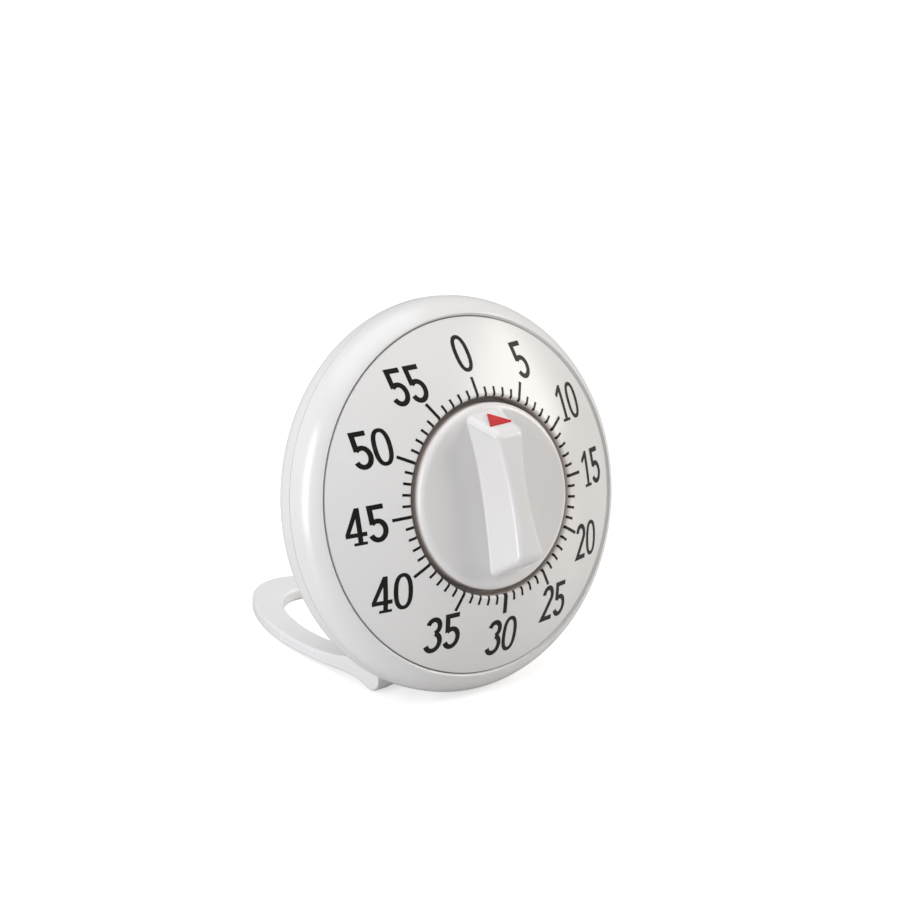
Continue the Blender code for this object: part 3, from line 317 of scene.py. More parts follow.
def turned(name, profile, closed=True, steps=ROUND_STEPS, matrix=CASE):
    """Solid of revolution about Z. An open profile starts and ends on the axis."""
    work = bmesh.new()
    verts = [work.verts.new((radius, 0.0, z)) for radius, z in profile]
    edges = [work.edges.new(pair) for pair in zip(verts, verts[1:])]
    if closed:
        edges.append(work.edges.new((verts[-1], verts[0])))
    bmesh.ops.spin(
        work, geom=verts + edges, cent=(0, 0, 0), axis=(0, 0, 1), angle=2 * math.pi, steps=steps
    )
    bmesh.ops.remove_doubles(work, verts=work.verts, dist=1e-6)
    bmesh.ops.recalc_face_normals(work, faces=work.faces)
    return new_object(name, mesh_from(work, name), matrix)


def filled(outlines, low, high, edge=0.0, merge=1e-7):
    """Bmesh of a flat outline and its holes between two levels, with both rims rounded by edge."""
    curve = bpy.data.curves.new("outline", "CURVE")
    curve.dimensions = "2D"
    curve.fill_mode = "BOTH"
    curve.extrude = (high - low) / 2 - edge
    if edge:
        curve.bevel_depth = edge
        curve.bevel_resolution = 3
        curve.offset = -edge
    for outline in outlines:
        spline = curve.splines.new("POLY")
        spline.points.add(len(outline) - 1)
        for point, (x, y) in zip(spline.points, outline):
            point.co = (x, y, 0.0, 1.0)
        spline.use_cyclic_u = True
    guide = bpy.data.objects.new("outline", curve)
    bpy.context.scene.collection.objects.link(guide)
    graph = bpy.context.evaluated_depsgraph_get()
    mesh = bpy.data.meshes.new_from_object(guide.evaluated_get(graph))
    bpy.data.objects.remove(guide)
    work = bmesh.new()
    work.from_mesh(mesh)
    bpy.data.meshes.remove(mesh)
    bmesh.ops.remove_doubles(work, verts=work.verts, dist=merge)
    bmesh.ops.translate(work, verts=work.verts, vec=(0, 0, (low + high) / 2))
    return work


def bored(radius, low, high, at=(0.0, 0.0, 0.0), steps=32, chamfer=0.0):
    """Cylinder along Z, for a Boolean, wider by the chamfer at its low end."""
    profile = [(0.0, high), (radius, high)]
    if chamfer:
        profile += [(radius, low + 2 * chamfer), (radius + chamfer, low + chamfer)]
        profile += [(radius + chamfer, low)]
    else:
        profile += [(radius, low)]
    profile += [(0.0, low)]
    return turned("cutter", profile, False, steps, CASE @ Matrix.Translation(at))


def combine(obj, others, operation):
    """Boolean of the object with every other, worked out at once; the others are removed."""
    for other in others:
        change = obj.modifiers.new("combine", "BOOLEAN")
        change.operation = operation
        change.solver = "EXACT"
        change.object = other
    settle(obj)
    for other in others:
        bpy.data.objects.remove(other)


def settle(obj):
    """Work the modifiers out and keep the result as the object's own mesh."""
    bpy.context.view_layer.update()
    graph = bpy.context.evaluated_depsgraph_get()
    mesh = bpy.data.meshes.new_from_object(obj.evaluated_get(graph))
    obj.modifiers.clear()
    old = obj.data
    obj.data = mesh
    bpy.data.meshes.remove(old)
    mesh.name = obj.name


def smooth(obj, angle=38.0):
    """Round shading with crisp edges, weighted so that the small fillets catch the light."""
    obj.data.shade_smooth()
    obj.data.set_sharp_from_angle(angle=math.radians(angle))
    weights = obj.modifiers.new("weights", "WEIGHTED_NORMAL")
    weights.keep_sharp = True
    return obj


def dress(obj, material, body, slot, *nodes):
    """Give a finished piece its material and its body, and hide the CAD nodes it stands for; slot is
    not used.
    """
    obj.data.materials.clear()
    obj.data.materials.append(material)
    # the mesh takes the object's place, so that its box in the world is a tight one
    obj.data.transform(obj.matrix_world)
    obj.matrix_world = Matrix.Identity(4)
    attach(obj, body)
    if nodes:
        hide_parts(*nodes)
    return obj


# ---------------------------------------------------------------- materials
def new_material(name):
    material = bpy.data.materials.new(name)
    material.use_nodes = True
    tree = material.node_tree
    return material, tree, tree.nodes["Principled BSDF"]


def add(tree, kind, inputs, **settings):
    """New node with its settings; an input is a value or a socket to link from."""
    node = tree.nodes.new(kind)
    for key, value in settings.items():
        setattr(node, key, value)
    for socket, value in inputs.items():
        if isinstance(value, bpy.types.NodeSocket):
            tree.links.new(value, node.inputs[socket])
        else:
            node.inputs[socket].default_value = value
    return node


def noise(tree, where, scale, detail=3.0, stretch=None):
    """Noise in metres, so a scale of 1000 makes features of a millimetre."""
    if stretch:
        where = add(tree, "ShaderNodeMapping", {"Vector": where, "Scale": stretch}).outputs[0]
    made = add(tree, "ShaderNodeTexNoise", {"Vector": where, "Scale": scale, "Detail": detail})
    return made.outputs["Fac"]


def ramp(tree, factor, stops):
    """Colour ramp through (position, colour) stops."""
    node = add(tree, "ShaderNodeValToRGB", {"Fac": factor})
    node.color_ramp.elements[0].position = stops[0][0]
    node.color_ramp.elements[0].color = (*stops[0][1], 1.0)
    node.color_ramp.elements[1].position = stops[-1][0]
    node.color_ramp.elements[1].color = (*stops[-1][1], 1.0)
    for position, color in stops[1:-1]:
        node.color_ramp.elements.new(position).color = (*color, 1.0)
    return node.outputs["Color"]


def spread(tree, value, low, high, start=0.3, end=0.7):
    inputs = {"Value": value, "From Min": start, "From Max": end, "To Min": low, "To Max": high}
    return add(tree, "ShaderNodeMapRange", inputs).outputs["Result"]


def scaled(color, factor, warmth=0.0):
    return (color[0] * factor, color[1] * factor * (1 - warmth / 2), color[2] * factor * (1 - warmth))


def bump(tree, shader, heights, distance, strength):
    """Bump from a sum of (socket, share) heights."""
    total = None
    for socket, share in heights:
        part = maths(tree, "MULTIPLY", socket, share)
        total = part if total is None else maths(tree, "ADD", total, part)
    node = add(tree, "ShaderNodeBump", {"Height": total, "Distance": distance, "Strength": strength})
    tree.links.new(node.outputs["Normal"], shader.inputs["Normal"])


def maths(tree, operation, *values):
    """Result of a Math node; a value is a number or a socket."""
    return add(tree, "ShaderNodeMath", dict(enumerate(values)), operation=operation).outputs[0]


def vector_maths(tree, operation, output, *values):
    """Named output of a Vector Math node; a value is a vector or a socket."""
    node = add(tree, "ShaderNodeVectorMath", dict(enumerate(values)), operation=operation)
    return node.outputs[output]


def case_height(tree, where):
    """Height of a point out of the dial, above the groove's plane."""
    reach = vector_maths(tree, "DOT_PRODUCT", "Value", where, tuple(OUTWARD))
    return maths(tree, "SUBTRACT", reach, CASE.translation.dot(OUTWARD))


def case_radius(tree, where):
    """Distance of a point from the knob's axis."""
    offset = vector_maths(tree, "SUBTRACT", "Vector", where, tuple(CASE.translation))
    across = vector_maths(tree, "CROSS_PRODUCT", "Vector", offset, tuple(OUTWARD))
    return vector_maths(tree, "LENGTH", "Value", across)


def moulded(name, color, roughness, variation=0.015, texture=0.25, gap=None):
    """Moulded plastic: slow drift of tone, faint grain and a trace of orange-peel skin.

    gap is (measure, limit): where the measure is under the limit the colour is painted shade, a grey
    that stands in for the shadow in the gap round the knob.
    """
    material, tree, shader = new_material(name)
    where = add(tree, "ShaderNodeTexCoord", {}).outputs["Object"]
    drift = noise(tree, where, 35.0, 2.0)
    grain = noise(tree, where, 1800.0, 2.0)
    peel = noise(tree, where, 240.0, 1.0)
    stops = [
        (0.30, scaled(color, 1 - variation, variation)),
        (0.52, color),
        (0.74, scaled(color, 1 + variation / 2)),
    ]
    blend = maths(tree, "MULTIPLY_ADD", grain, 0.10, drift)
    tone = ramp(tree, maths(tree, "SUBTRACT", blend, 0.05), stops)
    # painted shade: inside the gap round the knob the colour is mixed to a darker grey, where the real
    # plastic lies in shadow
    if gap:
        measure, limit = gap
        share = spread(tree, measure(tree, where), 1.0, 0.0, limit - GAP_BLEND, limit + GAP_BLEND)
        mixed = add(tree, "ShaderNodeMix", {0: share, 6: tone, 7: (*GAP_PAINTED_SHADE, 1.0)}, data_type="RGBA")
        tone = mixed.outputs[2]
    tree.links.new(tone, shader.inputs["Base Color"])
    tree.links.new(spread(tree, drift, roughness - 0.02, roughness + 0.03), shader.inputs["Roughness"])
    shader.inputs["IOR"].default_value = 1.53
    bump(tree, shader, [(grain, 0.03), (peel, 0.97)], 0.000004, texture)
    return material


def printed(name, color, worn, roughness):
    """Pad-printed ink: nearly even, with pinholes and a slightly matt skin."""
    material, tree, shader = new_material(name)
    where = add(tree, "ShaderNodeTexCoord", {}).outputs["Object"]
    grain = noise(tree, where, 3200.0, 4.0)
    patches = noise(tree, where, 260.0, 3.0)
    mixed = maths(tree, "MULTIPLY_ADD", grain, 0.5, patches)
    stops = [(0.45, color), (0.80, scaled(color, 1.25)), (0.98, worn)]
    tree.links.new(ramp(tree, mixed, stops), shader.inputs["Base Color"])
    tree.links.new(spread(tree, grain, roughness - 0.08, roughness + 0.10), shader.inputs["Roughness"])
    shader.inputs["Specular IOR Level"].default_value = 0.25
    bump(tree, shader, [(grain, 1.0)], 0.00001, 0.1)
    return material


def metal(name, color, roughness, stretch, tarnish=0.12):
    """Drawn or rolled metal: fine lines along one direction, soft tarnish and small pits."""
    material, tree, shader = new_material(name)
    where = add(tree, "ShaderNodeTexCoord", {}).outputs["Object"]
    lines = noise(tree, where, 1500.0, 3.0, stretch)
    cloud = noise(tree, where, 160.0, 4.0)
    pits = noise(tree, where, 2400.0, 4.0)
    stops = [
        (0.28, scaled(color, 1 - tarnish, tarnish / 2)),
        (0.55, color),
        (0.80, scaled(color, 1.06)),
    ]
    tree.links.new(ramp(tree, cloud, stops), shader.inputs["Base Color"])
    tree.links.new(spread(tree, lines, roughness - 0.07, roughness + 0.12), shader.inputs["Roughness"])
    shader.inputs["Metallic"].default_value = 1.0
    bump(tree, shader, [(lines, 0.7), (pits, 0.3)], 0.00002, 0.3)
    return material


CASE_WHITE = moulded("case_white", (0.785, 0.782, 0.79), 0.22)
STAND_WHITE = moulded("stand_white", (0.84, 0.84, 0.855), 0.26)
# painted shade in the gap round the knob: the dial darkens inside the well's radius, the knob on its
# skirt below a height
WELL_PAINTED_SHADE = (case_radius, WELL_RADIUS + GAP_BLEND)
SKIRT_PAINTED_SHADE = (case_height, KNOB_PAINTED_SHADE_BELOW)
DIAL_WHITE = moulded("dial_white", (0.775, 0.770, 0.775), 0.24, gap=WELL_PAINTED_SHADE)
KNOB_WHITE = moulded("knob_white", (0.765, 0.757, 0.765), 0.22, gap=SKIRT_PAINTED_SHADE)
INK_BLACK = printed("ink_black", (0.0040, 0.0034, 0.0026), (0.012, 0.010, 0.008), 0.46)
POINTER_RED = printed("pointer_red", (0.46, 0.018, 0.022), (0.54, 0.05, 0.04), 0.36)
NYLON = moulded("nylon", (0.72, 0.70, 0.61), 0.42, 0.05, 0.2)
BRASS = metal("rolled_brass", (0.73, 0.53, 0.23), 0.30, (1.0, 0.06, 1.0))
STEEL = metal("turned_steel", (0.58, 0.58, 0.59), 0.28, (1.0, 1.0, 0.08))
SPRING_STEEL = metal("blued_spring_steel", (0.16, 0.19, 0.27), 0.30, (0.06, 1.0, 1.0), 0.3)
BELL_STEEL = metal("bell_steel", (0.66, 0.66, 0.67), 0.17, (0.2, 1.0, 1.0), 0.06)
SCREW_STEEL = metal("zinc_plated_steel", (0.62, 0.63, 0.62), 0.24, (1.0, 0.3, 1.0))


# ---------------------------------------------------------------- case
RIM_CENTRE = (CASE_RADIUS - RIM_ROUND, RIM_CROWN - RIM_ROUND)
RIM_INNER_RADIUS = GROOVE_RADIUS + GROOVE_WIDTH / 2
DIAL_RADIUS = GROOVE_RADIUS - GROOVE_WIDTH / 2
REAR_ROUND_CENTRE = (CASE_RADIUS - REAR_ROUND, REAR_ROUND - REAR_FACE_DEPTH)


def make_front_shell():
    """Rim from the groove round the dial back to the parting line, with three screw bosses."""
    start = math.degrees(math.acos((RIM_INNER_RADIUS - RIM_CENTRE[0]) / RIM_ROUND))
    end = math.degrees(math.asin((-PARTING_DEPTH - RIM_CENTRE[1]) / RIM_ROUND))
    inner_round = RIM_ROUND - RIM_WALL
    inner_start = math.degrees(math.asin((-PARTING_DEPTH - RIM_CENTRE[1]) / inner_round))
    inner_end = math.degrees(math.asin((LEDGE_LOW - RIM_CENTRE[1]) / inner_round))
    outer = arc(RIM_CENTRE, RIM_ROUND, start, end, 14)
    corners = [(RIM_INNER_RADIUS, LEDGE_HIGH, 0.0), (*outer[0], RIM_EDGE_ROUND)]
    corners += smooth_points(outer[1:-1])
    corners.append((*outer[-1], PARTING_LINE))
    corners += smooth_points(arc(RIM_CENTRE, inner_round, inner_start, inner_end, 8))
    corners += [(LEDGE_INNER_RADIUS, level, FINE_EDGE) for level in (LEDGE_LOW, LEDGE_HIGH)]
    shell = turned("rim_shell", rounded(corners))
    bosses = []
    bores = []
    for angle in CASE_SCREW_ANGLES:
        at = polar(CASE_SCREW_CIRCLE, angle)
        low = -PARTING_DEPTH + 2 * FINE_EDGE
        bosses.append(bored(CASE_SCREW_BOSS_RADIUS, low, LEDGE_LOW + FINE_EDGE, at))
        bores.append(bored(CASE_SCREW_BORE_RADIUS, low - FINE_EDGE, LEDGE_LOW - FINE_EDGE, at))
    combine(shell, bosses, "UNION")
    combine(shell, bores, "DIFFERENCE")
    dress(smooth(shell), CASE_WHITE, "case", "white_plastic", "front_shell")


def sound_slot(angle):
    """Round-ended slot through the back, wider at the mouth, for a Boolean."""
    start, end = SOUND_SLOT_ENDS
    half = SOUND_SLOT_WIDTH / 2
    outline = arc((end - half, 0.0), half, -90.0, 90.0, 10)
    outline += arc((start + half, 0.0), half, 90.0, 270.0, 10)
    low = -PLATEAU_DEPTH - REAR_WALL
    slot = new_object("cutter", mesh_from(filled([outline], low, low + 3 * REAR_WALL), "slot"))
    slot.matrix_world = CASE @ Matrix.Rotation(math.radians(angle), 4, "Z")
    return slot


def lug(side):
    """Lug behind the foot of the cover, which holds one of the stand's pegs."""
    top = -REAR_FACE_DEPTH + REAR_WALL / 2
    centre = (-HINGE_DEPTH, -HINGE_BELOW)
    outline = [(top, -HINGE_BELOW - LUG_RADIUS * 0.5), *arc(centre, LUG_RADIUS, -60.0, -270.0, 28)]
    outline.append((top, -HINGE_BELOW + LUG_RADIUS))
    low, high = sorted((side * LUG_INNER, side * LUG_OUTER))
    work = filled([outline], low, high)
    swap = Matrix(((0, 0, 1, 0), (0, 1, 0, 0), (1, 0, 0, 0), (0, 0, 0, 1)))
    bmesh.ops.transform(work, matrix=swap, verts=work.verts)
    bmesh.ops.recalc_face_normals(work, faces=work.faces)
    made = new_object("lug", mesh_from(work, "lug"))
    edge = made.modifiers.new("edge", "BEVEL")
    edge.width = LUG_EDGE_ROUND
    edge.segments = 3
    edge.limit_method = "ANGLE"
    edge.angle_limit = math.radians(50.0)
    settle(made)
    return made


def along_x(radius, low, high, place):
    """Cylinder along the X of a place on the hinge's line, for a Boolean."""
    profile = [(0.0, high), (radius, high), (radius, low), (0.0, low)]
    turn = Matrix.Rotation(math.radians(90.0), 4, "Y")
    return turned("cutter", profile, False, 32, place @ turn)


def make_rear_cover():
    """Back half of the case: plateau over the bell, sound slots, screw posts and hinge lugs."""
    inner_radius = CASE_RADIUS - RIM_WALL
    floor = -REAR_FACE_DEPTH + REAR_WALL
    top = -PARTING_DEPTH - PARTING_LINE
    lip_outer = inner_radius - 3 * FINE_EDGE
    lip_inner = lip_outer - LIP_WALL
    pocket_radius = PLATEAU_RADIUS - REAR_WALL
    pocket_floor = -PLATEAU_DEPTH + REAR_WALL
    corners = [(0.0, pocket_floor, 0.0), (pocket_radius, pocket_floor, FINE_EDGE)]
    corners.append((pocket_radius, floor, FINE_EDGE))
    corners += smooth_points(arc(REAR_ROUND_CENTRE, REAR_ROUND - REAR_WALL, -90.0, -20.0, 5))
    corners += [(inner_radius, top - LIP_WALL, 0.0), (lip_inner, top - LIP_WALL, 0.0)]
    corners += [(lip_inner, top + LIP_HEIGHT, FINE_EDGE), (lip_outer, top + LIP_HEIGHT, FINE_EDGE)]
    corners += [(lip_outer, top, 0.0), (CASE_RADIUS, top, PARTING_LINE)]
    corners += smooth_points(arc(REAR_ROUND_CENTRE, REAR_ROUND, 0.0, -90.0, 12))
    corners.append((PLATEAU_RADIUS + PLATEAU_ROUND, -REAR_FACE_DEPTH, 0.0))
    foot_centre = (PLATEAU_RADIUS + PLATEAU_ROUND / 2, -REAR_FACE_DEPTH - PLATEAU_ROUND / 2)
    corners += smooth_points(arc(foot_centre, PLATEAU_ROUND / 2, 90.0, 180.0, 4))
    edge_centre = (PLATEAU_RADIUS - PLATEAU_ROUND, -PLATEAU_DEPTH + PLATEAU_ROUND)
    corners += smooth_points(arc(edge_centre, PLATEAU_ROUND, 0.0, -90.0, 6))
    corners.append((0.0, -PLATEAU_DEPTH, 0.0))
    cover = turned("rear_case", rounded(corners, False), False)
    posts = [lug(-1), lug(1)]
    hinge = CASE @ Matrix.Translation((0.0, -HINGE_BELOW, -HINGE_DEPTH))
    holes = []
    for side in (1, -1):
        blind_end = side * (LUG_OUTER - PEG_LENGTH - SOCKET_END_ROOM)
        low, high = sorted((blind_end, side * (LUG_OUTER + SOCKET_OVERCUT)))
        holes.append(along_x(SOCKET_RADIUS, low, high, hinge))
    for angle in CASE_SCREW_ANGLES:
        at = polar(CASE_SCREW_CIRCLE, angle)
        post_top = -PARTING_DEPTH + FINE_EDGE
        posts.append(bored(CASE_SCREW_POST_RADIUS, floor - FINE_EDGE, post_top, at))
        holes.append(bored(CASE_SCREW_BORE_RADIUS, -REAR_FACE_DEPTH, post_top + FINE_EDGE, at))
        mouth = -REAR_FACE_DEPTH - FINE_EDGE
        chamfer = CASE_SCREW_MOUTH_CHAMFER
        holes.append(bored(CASE_SCREW_MOUTH_RADIUS, mouth, CASE_SCREW_SEAT, at, 40, chamfer))
    for number in range(SOUND_SLOT_COUNT):
        holes.append(sound_slot(360.0 * (number + 0.5) / SOUND_SLOT_COUNT))
    combine(cover, posts, "UNION")
    combine(cover, holes, "DIFFERENCE")
    dress(smooth(cover), CASE_WHITE, "case", "white_plastic", "rear_cover")


def make_case_screws():
    """Three self-cutting screws, from the tip to the crowned head."""
    seat = CASE_SCREW_SEAT - CASE_SCREW_ROOM
    low = seat - CASE_SCREW_HEAD
    tip = LEDGE_LOW - CASE_SCREW_TIP_BELOW
    corners = [(0.0, tip, 0.0), (CASE_SCREW_POINT_RADIUS, tip, 0.0)]
    corners.append((CASE_SCREW_SHANK_RADIUS, tip - CASE_SCREW_POINT, 0.0))
    corners.append((CASE_SCREW_SHANK_RADIUS, seat, 0.0))
    seat_round, side_round, crown_round = CASE_SCREW_HEAD_ROUNDS
    corners.append((CASE_SCREW_HEAD_RADIUS, seat, seat_round))
    corners.append((CASE_SCREW_HEAD_RADIUS, low + CASE_SCREW_HEAD_SIDE, side_round))
    corners += [(CASE_SCREW_HEAD_FLAT, low, crown_round), (0.0, low, 0.0)]
    for number, angle in enumerate(CASE_SCREW_ANGLES, 1):
        at = CASE @ Matrix.Translation(polar(CASE_SCREW_CIRCLE, angle))
        screw = turned(f"cover_screw_{number}", rounded(corners, False), False, 48, at)
        arms = [cross_arm(at, low, turn + 25.0 * number) for turn in (0.0, 90.0)]
        combine(screw, arms, "DIFFERENCE")
        dress(smooth(screw), SCREW_STEEL, "case", "steel", f"case_screw_{number}")


def cross_arm(at, low, turn):
    """Tapered wing of a cross recess."""
    work = bmesh.new()
    bmesh.ops.create_cube(work, size=2.0)
    for vertex in work.verts:
        share = 1.0 if vertex.co.z < 0 else RECESS_TAPER
        depth = -RECESS_OVERCUT if vertex.co.z < 0 else RECESS_DEPTH
        x = vertex.co.x * RECESS_HALF_LENGTH * share
        vertex.co = (x, vertex.co.y * RECESS_HALF_WIDTH, low + depth)
    arm = new_object("cutter", mesh_from(work, "arm"))
    arm.matrix_world = at @ Matrix.Rotation(math.radians(turn), 4, "Z")
    return arm


# ---------------------------------------------------------------- dial
def dome(radius):
    """Height of the dial's face at a radius."""
    return DIAL_SAG * (1 - (radius / GROOVE_RADIUS) ** 2)


def dome_slope(radius):
    """Fall of the dial's face at a radius, in radians."""
    return math.atan(2 * DIAL_SAG * radius / GROOVE_RADIUS**2)


WELL_EDGE_X = WELL_RADIUS + WELL_EDGE_ROUND
WELL_SLOPE = dome_slope(WELL_EDGE_X)
DOME_START = WELL_EDGE_X + WELL_EDGE_ROUND * math.sin(WELL_SLOPE)
WELL_EDGE = (WELL_EDGE_X, dome(DOME_START) - WELL_EDGE_ROUND * math.cos(WELL_SLOPE))
WELL_EDGE_START = 90.0 - math.degrees(WELL_SLOPE)


def make_dial():
    """Domed dial with the knob's well: the under side inwards, the well, then the dome outwards."""
    shoulder = WELL_RADIUS + WELL_WALL
    under = WELL_FLOOR - WELL_WALL
    corners = []
    for step in range(DIAL_STEPS + 1):
        radius = DIAL_RADIUS + (shoulder + WELL_FOOT_ROUND - DIAL_RADIUS) * step / DIAL_STEPS
        corners.append((radius, dome(radius) - DIAL_THICKNESS, 0.0))
    corners += [(shoulder, under, FINE_EDGE), (DIAL_HOLE_RADIUS, under, 0.0)]
    corners.append((DIAL_HOLE_RADIUS, WELL_FLOOR, FINE_EDGE))
    corners.append((WELL_RADIUS, WELL_FLOOR, WELL_FOOT_ROUND))
    corners += smooth_points(arc(WELL_EDGE, WELL_EDGE_ROUND, 180.0, WELL_EDGE_START, 10))
    for step in range(1, DIAL_STEPS):
        radius = DOME_START + (DIAL_RADIUS - DIAL_EDGE - DOME_START) * step / (DIAL_STEPS - 1)
        corners.append((radius, dome(radius), 0.0))
    corners.append((DIAL_RADIUS, dome(DIAL_RADIUS), DIAL_EDGE_ROUND))
    dial = turned("dial", rounded(corners))
    dress(smooth(dial), DIAL_WHITE, "case", "white_plastic", "dial_plate")


def dial_profile(outer):
    """Radius, height and the normal's two parts, from an outer radius in and over the well's edge."""
    points = []
    for step in range(MARK_DIAL_STEPS):
        radius = outer + (DOME_START - outer) * step / MARK_DIAL_STEPS
        slope = dome_slope(radius)
        points.append((radius, dome(radius), math.sin(slope), math.cos(slope)))
    for step in range(MARK_EDGE_STEPS + 1):
        turn = (MARK_END_ANGLE - WELL_EDGE_START) * step / MARK_EDGE_STEPS
        angle = math.radians(WELL_EDGE_START + turn)
        away = (math.cos(angle), math.sin(angle))
        at = [centre + WELL_EDGE_ROUND * part for centre, part in zip(WELL_EDGE, away)]
        points.append((*at, *away))
    return points


def add_mark(work, minute):
    """One minute mark: a printed strip that follows the dial and rolls over the well's edge."""
    major = minute % MAJOR_EVERY == 0
    width = MARK_WIDTHS[0 if major else 1]
    if minute == MINUTES // 2:
        width = HALF_HOUR_WIDTH
    direction = polar(1.0, 90.0 - 360.0 * minute / MINUTES)
    side = Vector((-direction.y, direction.x, 0.0)) * width / 2
    profile = dial_profile(MARK_ENDS[0 if major else 1])
    rings = []
    for radius, height, out, up in profile:
        at = direction * radius + Vector((0, 0, height))
        normal = direction * out + Vector((0, 0, up))
        above = at + normal * INK
        below = at - normal * INK
        corners = (above - side, above + side, below + side, below - side)
        rings.append([work.verts.new(corner) for corner in corners])
    for ring, following in zip(rings, rings[1:]):
        for index in range(4):
            other = (index + 1) % 4
            work.faces.new((ring[index], ring[other], following[other], following[index]))
    work.faces.new(rings[0])
    work.faces.new(rings[-1])


def make_marks():
    work = bmesh.new()
    for minute in range(MINUTES):
        add_mark(work, minute)
    bmesh.ops.recalc_face_normals(work, faces=work.faces)
    marks = new_object("minute_marks", mesh_from(work, "minute_marks"))
    dress(smooth(marks, 60.0), INK_BLACK, "case", "white_plastic")


# ---------------------------------------------------------------- numerals, in millimetres
STROKE = 1.46


def stroke(path, width=STROKE):
    """Outline of a pen stroke of even width along a path."""
    left = []
    right = []
    for index, point in enumerate(path):
        here = Vector(point)
        before = here - Vector(path[max(index - 1, 0)])
        after = Vector(path[min(index + 1, len(path) - 1)]) - here
        before = before.normalized() if index else after.normalized()
        after = after.normalized() if index < len(path) - 1 else before
        along = (before + after).normalized()
        side = Vector((-along.y, along.x))
        reach = width / 2 / max(0.5, side.dot(Vector((-before.y, before.x))))
        left.append(tuple(here + side * reach))
        right.append(tuple(here - side * reach))
    return left + right[::-1]


def egg(half_width, half_height, squareness=2.35, steps=56):
    """Superellipse round the middle of the digit."""
    points = []
    middle = DIGIT_HALF_HEIGHT / MM
    for step in range(steps):
        angle = 2 * math.pi * step / steps
        across = math.copysign(abs(math.cos(angle)) ** (2 / squareness), math.cos(angle))
        upward = math.copysign(abs(math.sin(angle)) ** (2 / squareness), math.sin(angle))
        points.append((half_width * across, middle + half_height * upward))
    return points


ONE = [(0.15, 11.0), (1.15, 11.0), (1.15, 0.85), (2.35, 0.85), (2.35, 0.0), (-1.35, 0.0)]
ONE += [(-1.35, 0.85), (-0.15, 0.85), (-0.15, 9.0), (-1.75, 7.55), (-2.25, 8.55)]
FOUR = [(0.15, 11.0), (1.45, 11.0), (1.45, 3.75), (2.75, 3.75), (2.75, 2.5), (1.45, 2.5)]
FOUR += [(1.45, 0.85), (2.6, 0.85), (2.6, 0.0), (-1.0, 0.0), (-1.0, 0.85), (0.15, 0.85)]
FOUR += [(0.15, 2.5), (-3.05, 2.5), (-3.05, 3.7)]
FOUR_HOLE = [(0.15, 3.75), (-1.8, 3.75), (0.15, 8.0)]
TWO = [*bowl((0.0, 7.95), 1.85, 2.4, 172.0, -28.0), (-2.0, 0.62), (2.45, 0.62)]
THREE_TOP = bowl((-0.1, 8.2), 1.85, 2.15, 162.0, -78.0)
THREE_FOOT = bowl((-0.15, 3.3), 2.2, 2.65, 78.0, -160.0)
FIVE_TOP = [(2.15, 10.35), (-1.7, 10.35), (-1.45, 5.35)]
FIVE_FOOT = bowl((-0.1, 3.45), 2.15, 2.8, 134.0, -155.0)

# each digit is a list of shapes that are joined; a shape is an outline with any holes
DIGITS = {
    "0": [[egg(2.8, 5.5), egg(1.5, 4.35)]],
    "1": [[ONE]],
    "2": [[stroke(TWO)]],
    "3": [[stroke(THREE_TOP)], [stroke(THREE_FOOT)]],
    "4": [[FOUR, FOUR_HOLE]],
    "5": [[stroke(FIVE_TOP)], [stroke(FIVE_FOOT)]],
}


def digit_mesh(digit):
    """Flat digit, a tenth of a millimetre thick, centred on its own middle."""
    pieces = []
    for outlines in DIGITS[digit]:
        centred = []
        for outline in outlines:
            centred.append([(x * MM, y * MM - DIGIT_HALF_HEIGHT) for x, y in outline])
        work = filled(centred, -INK, INK)
        bmesh.ops.recalc_face_normals(work, faces=work.faces)
        pieces.append(new_object("digit", mesh_from(work, "digit"), Matrix.Identity(4)))
    combine(pieces[0], pieces[1:], "UNION")
    mesh = pieces[0].data.copy()
    bpy.data.objects.remove(pieces[0])
    return mesh


def slice_up(work, step, low, high, axis):
    """Cut every face along evenly spaced planes, so that it can follow a curved surface."""
    at = low
    while at < high:
        geometry = work.verts[:] + work.edges[:] + work.faces[:]
        point = Vector((0.0, 0.0, 0.0))
        point[axis] = at
        normal = Vector((0.0, 0.0, 0.0))
        normal[axis] = 1.0
        bmesh.ops.bisect_plane(work, geom=geometry, plane_co=point, plane_no=normal)
        at += step


def make_numerals():
    """Upright numerals every five minutes, laid on the dome."""
    meshes = {digit: digit_mesh(digit) for digit in DIGITS}
    for mesh in meshes.values():
        work = bmesh.new()
        work.from_mesh(mesh)
        slice_up(work, DIGIT_SLICE, *DIGIT_SLICES_ACROSS, 0)
        slice_up(work, DIGIT_SLICE, *DIGIT_SLICES_UP, 1)
        work.to_mesh(mesh)
        work.free()
    work = bmesh.new()
    for minute in range(0, MINUTES, MAJOR_EVERY):
        label = str(minute)
        middle = polar(NUMERAL_CIRCLE, 90.0 - 360.0 * minute / MINUTES)
        for index, digit in enumerate(label):
            shift = (index - (len(label) - 1) / 2) * DIGIT_PITCH
            first = len(work.verts)
            work.from_mesh(meshes[digit])
            work.verts.ensure_lookup_table()
            for vertex in work.verts[first:]:
                vertex.co += middle + Vector((shift, 0.0, 0.0))
    for vertex in work.verts:
        vertex.co.z += dome(math.hypot(vertex.co.x, vertex.co.y))
    numerals = new_object("numerals", mesh_from(work, "numerals"))
    dress(smooth(numerals, 60.0), INK_BLACK, "case", "white_plastic")


# ---------------------------------------------------------------- knob
def grip_width(widths, share):
    """Half-width at a share from -1, the 6 o'clock end, to 1, the 12 o'clock end."""
    end = widths[0] if share < 0 else widths[2]
    return widths[1] + (end - widths[1]) * share * share


def grip_top(y):
    """Height of the grip's sloping top."""
    share = (y + GRIP_TOP_HALF_LENGTHS[0]) / sum(GRIP_TOP_HALF_LENGTHS)
    return GRIP_TOP_HEIGHTS[0] + (GRIP_TOP_HEIGHTS[1] - GRIP_TOP_HEIGHTS[0]) * share


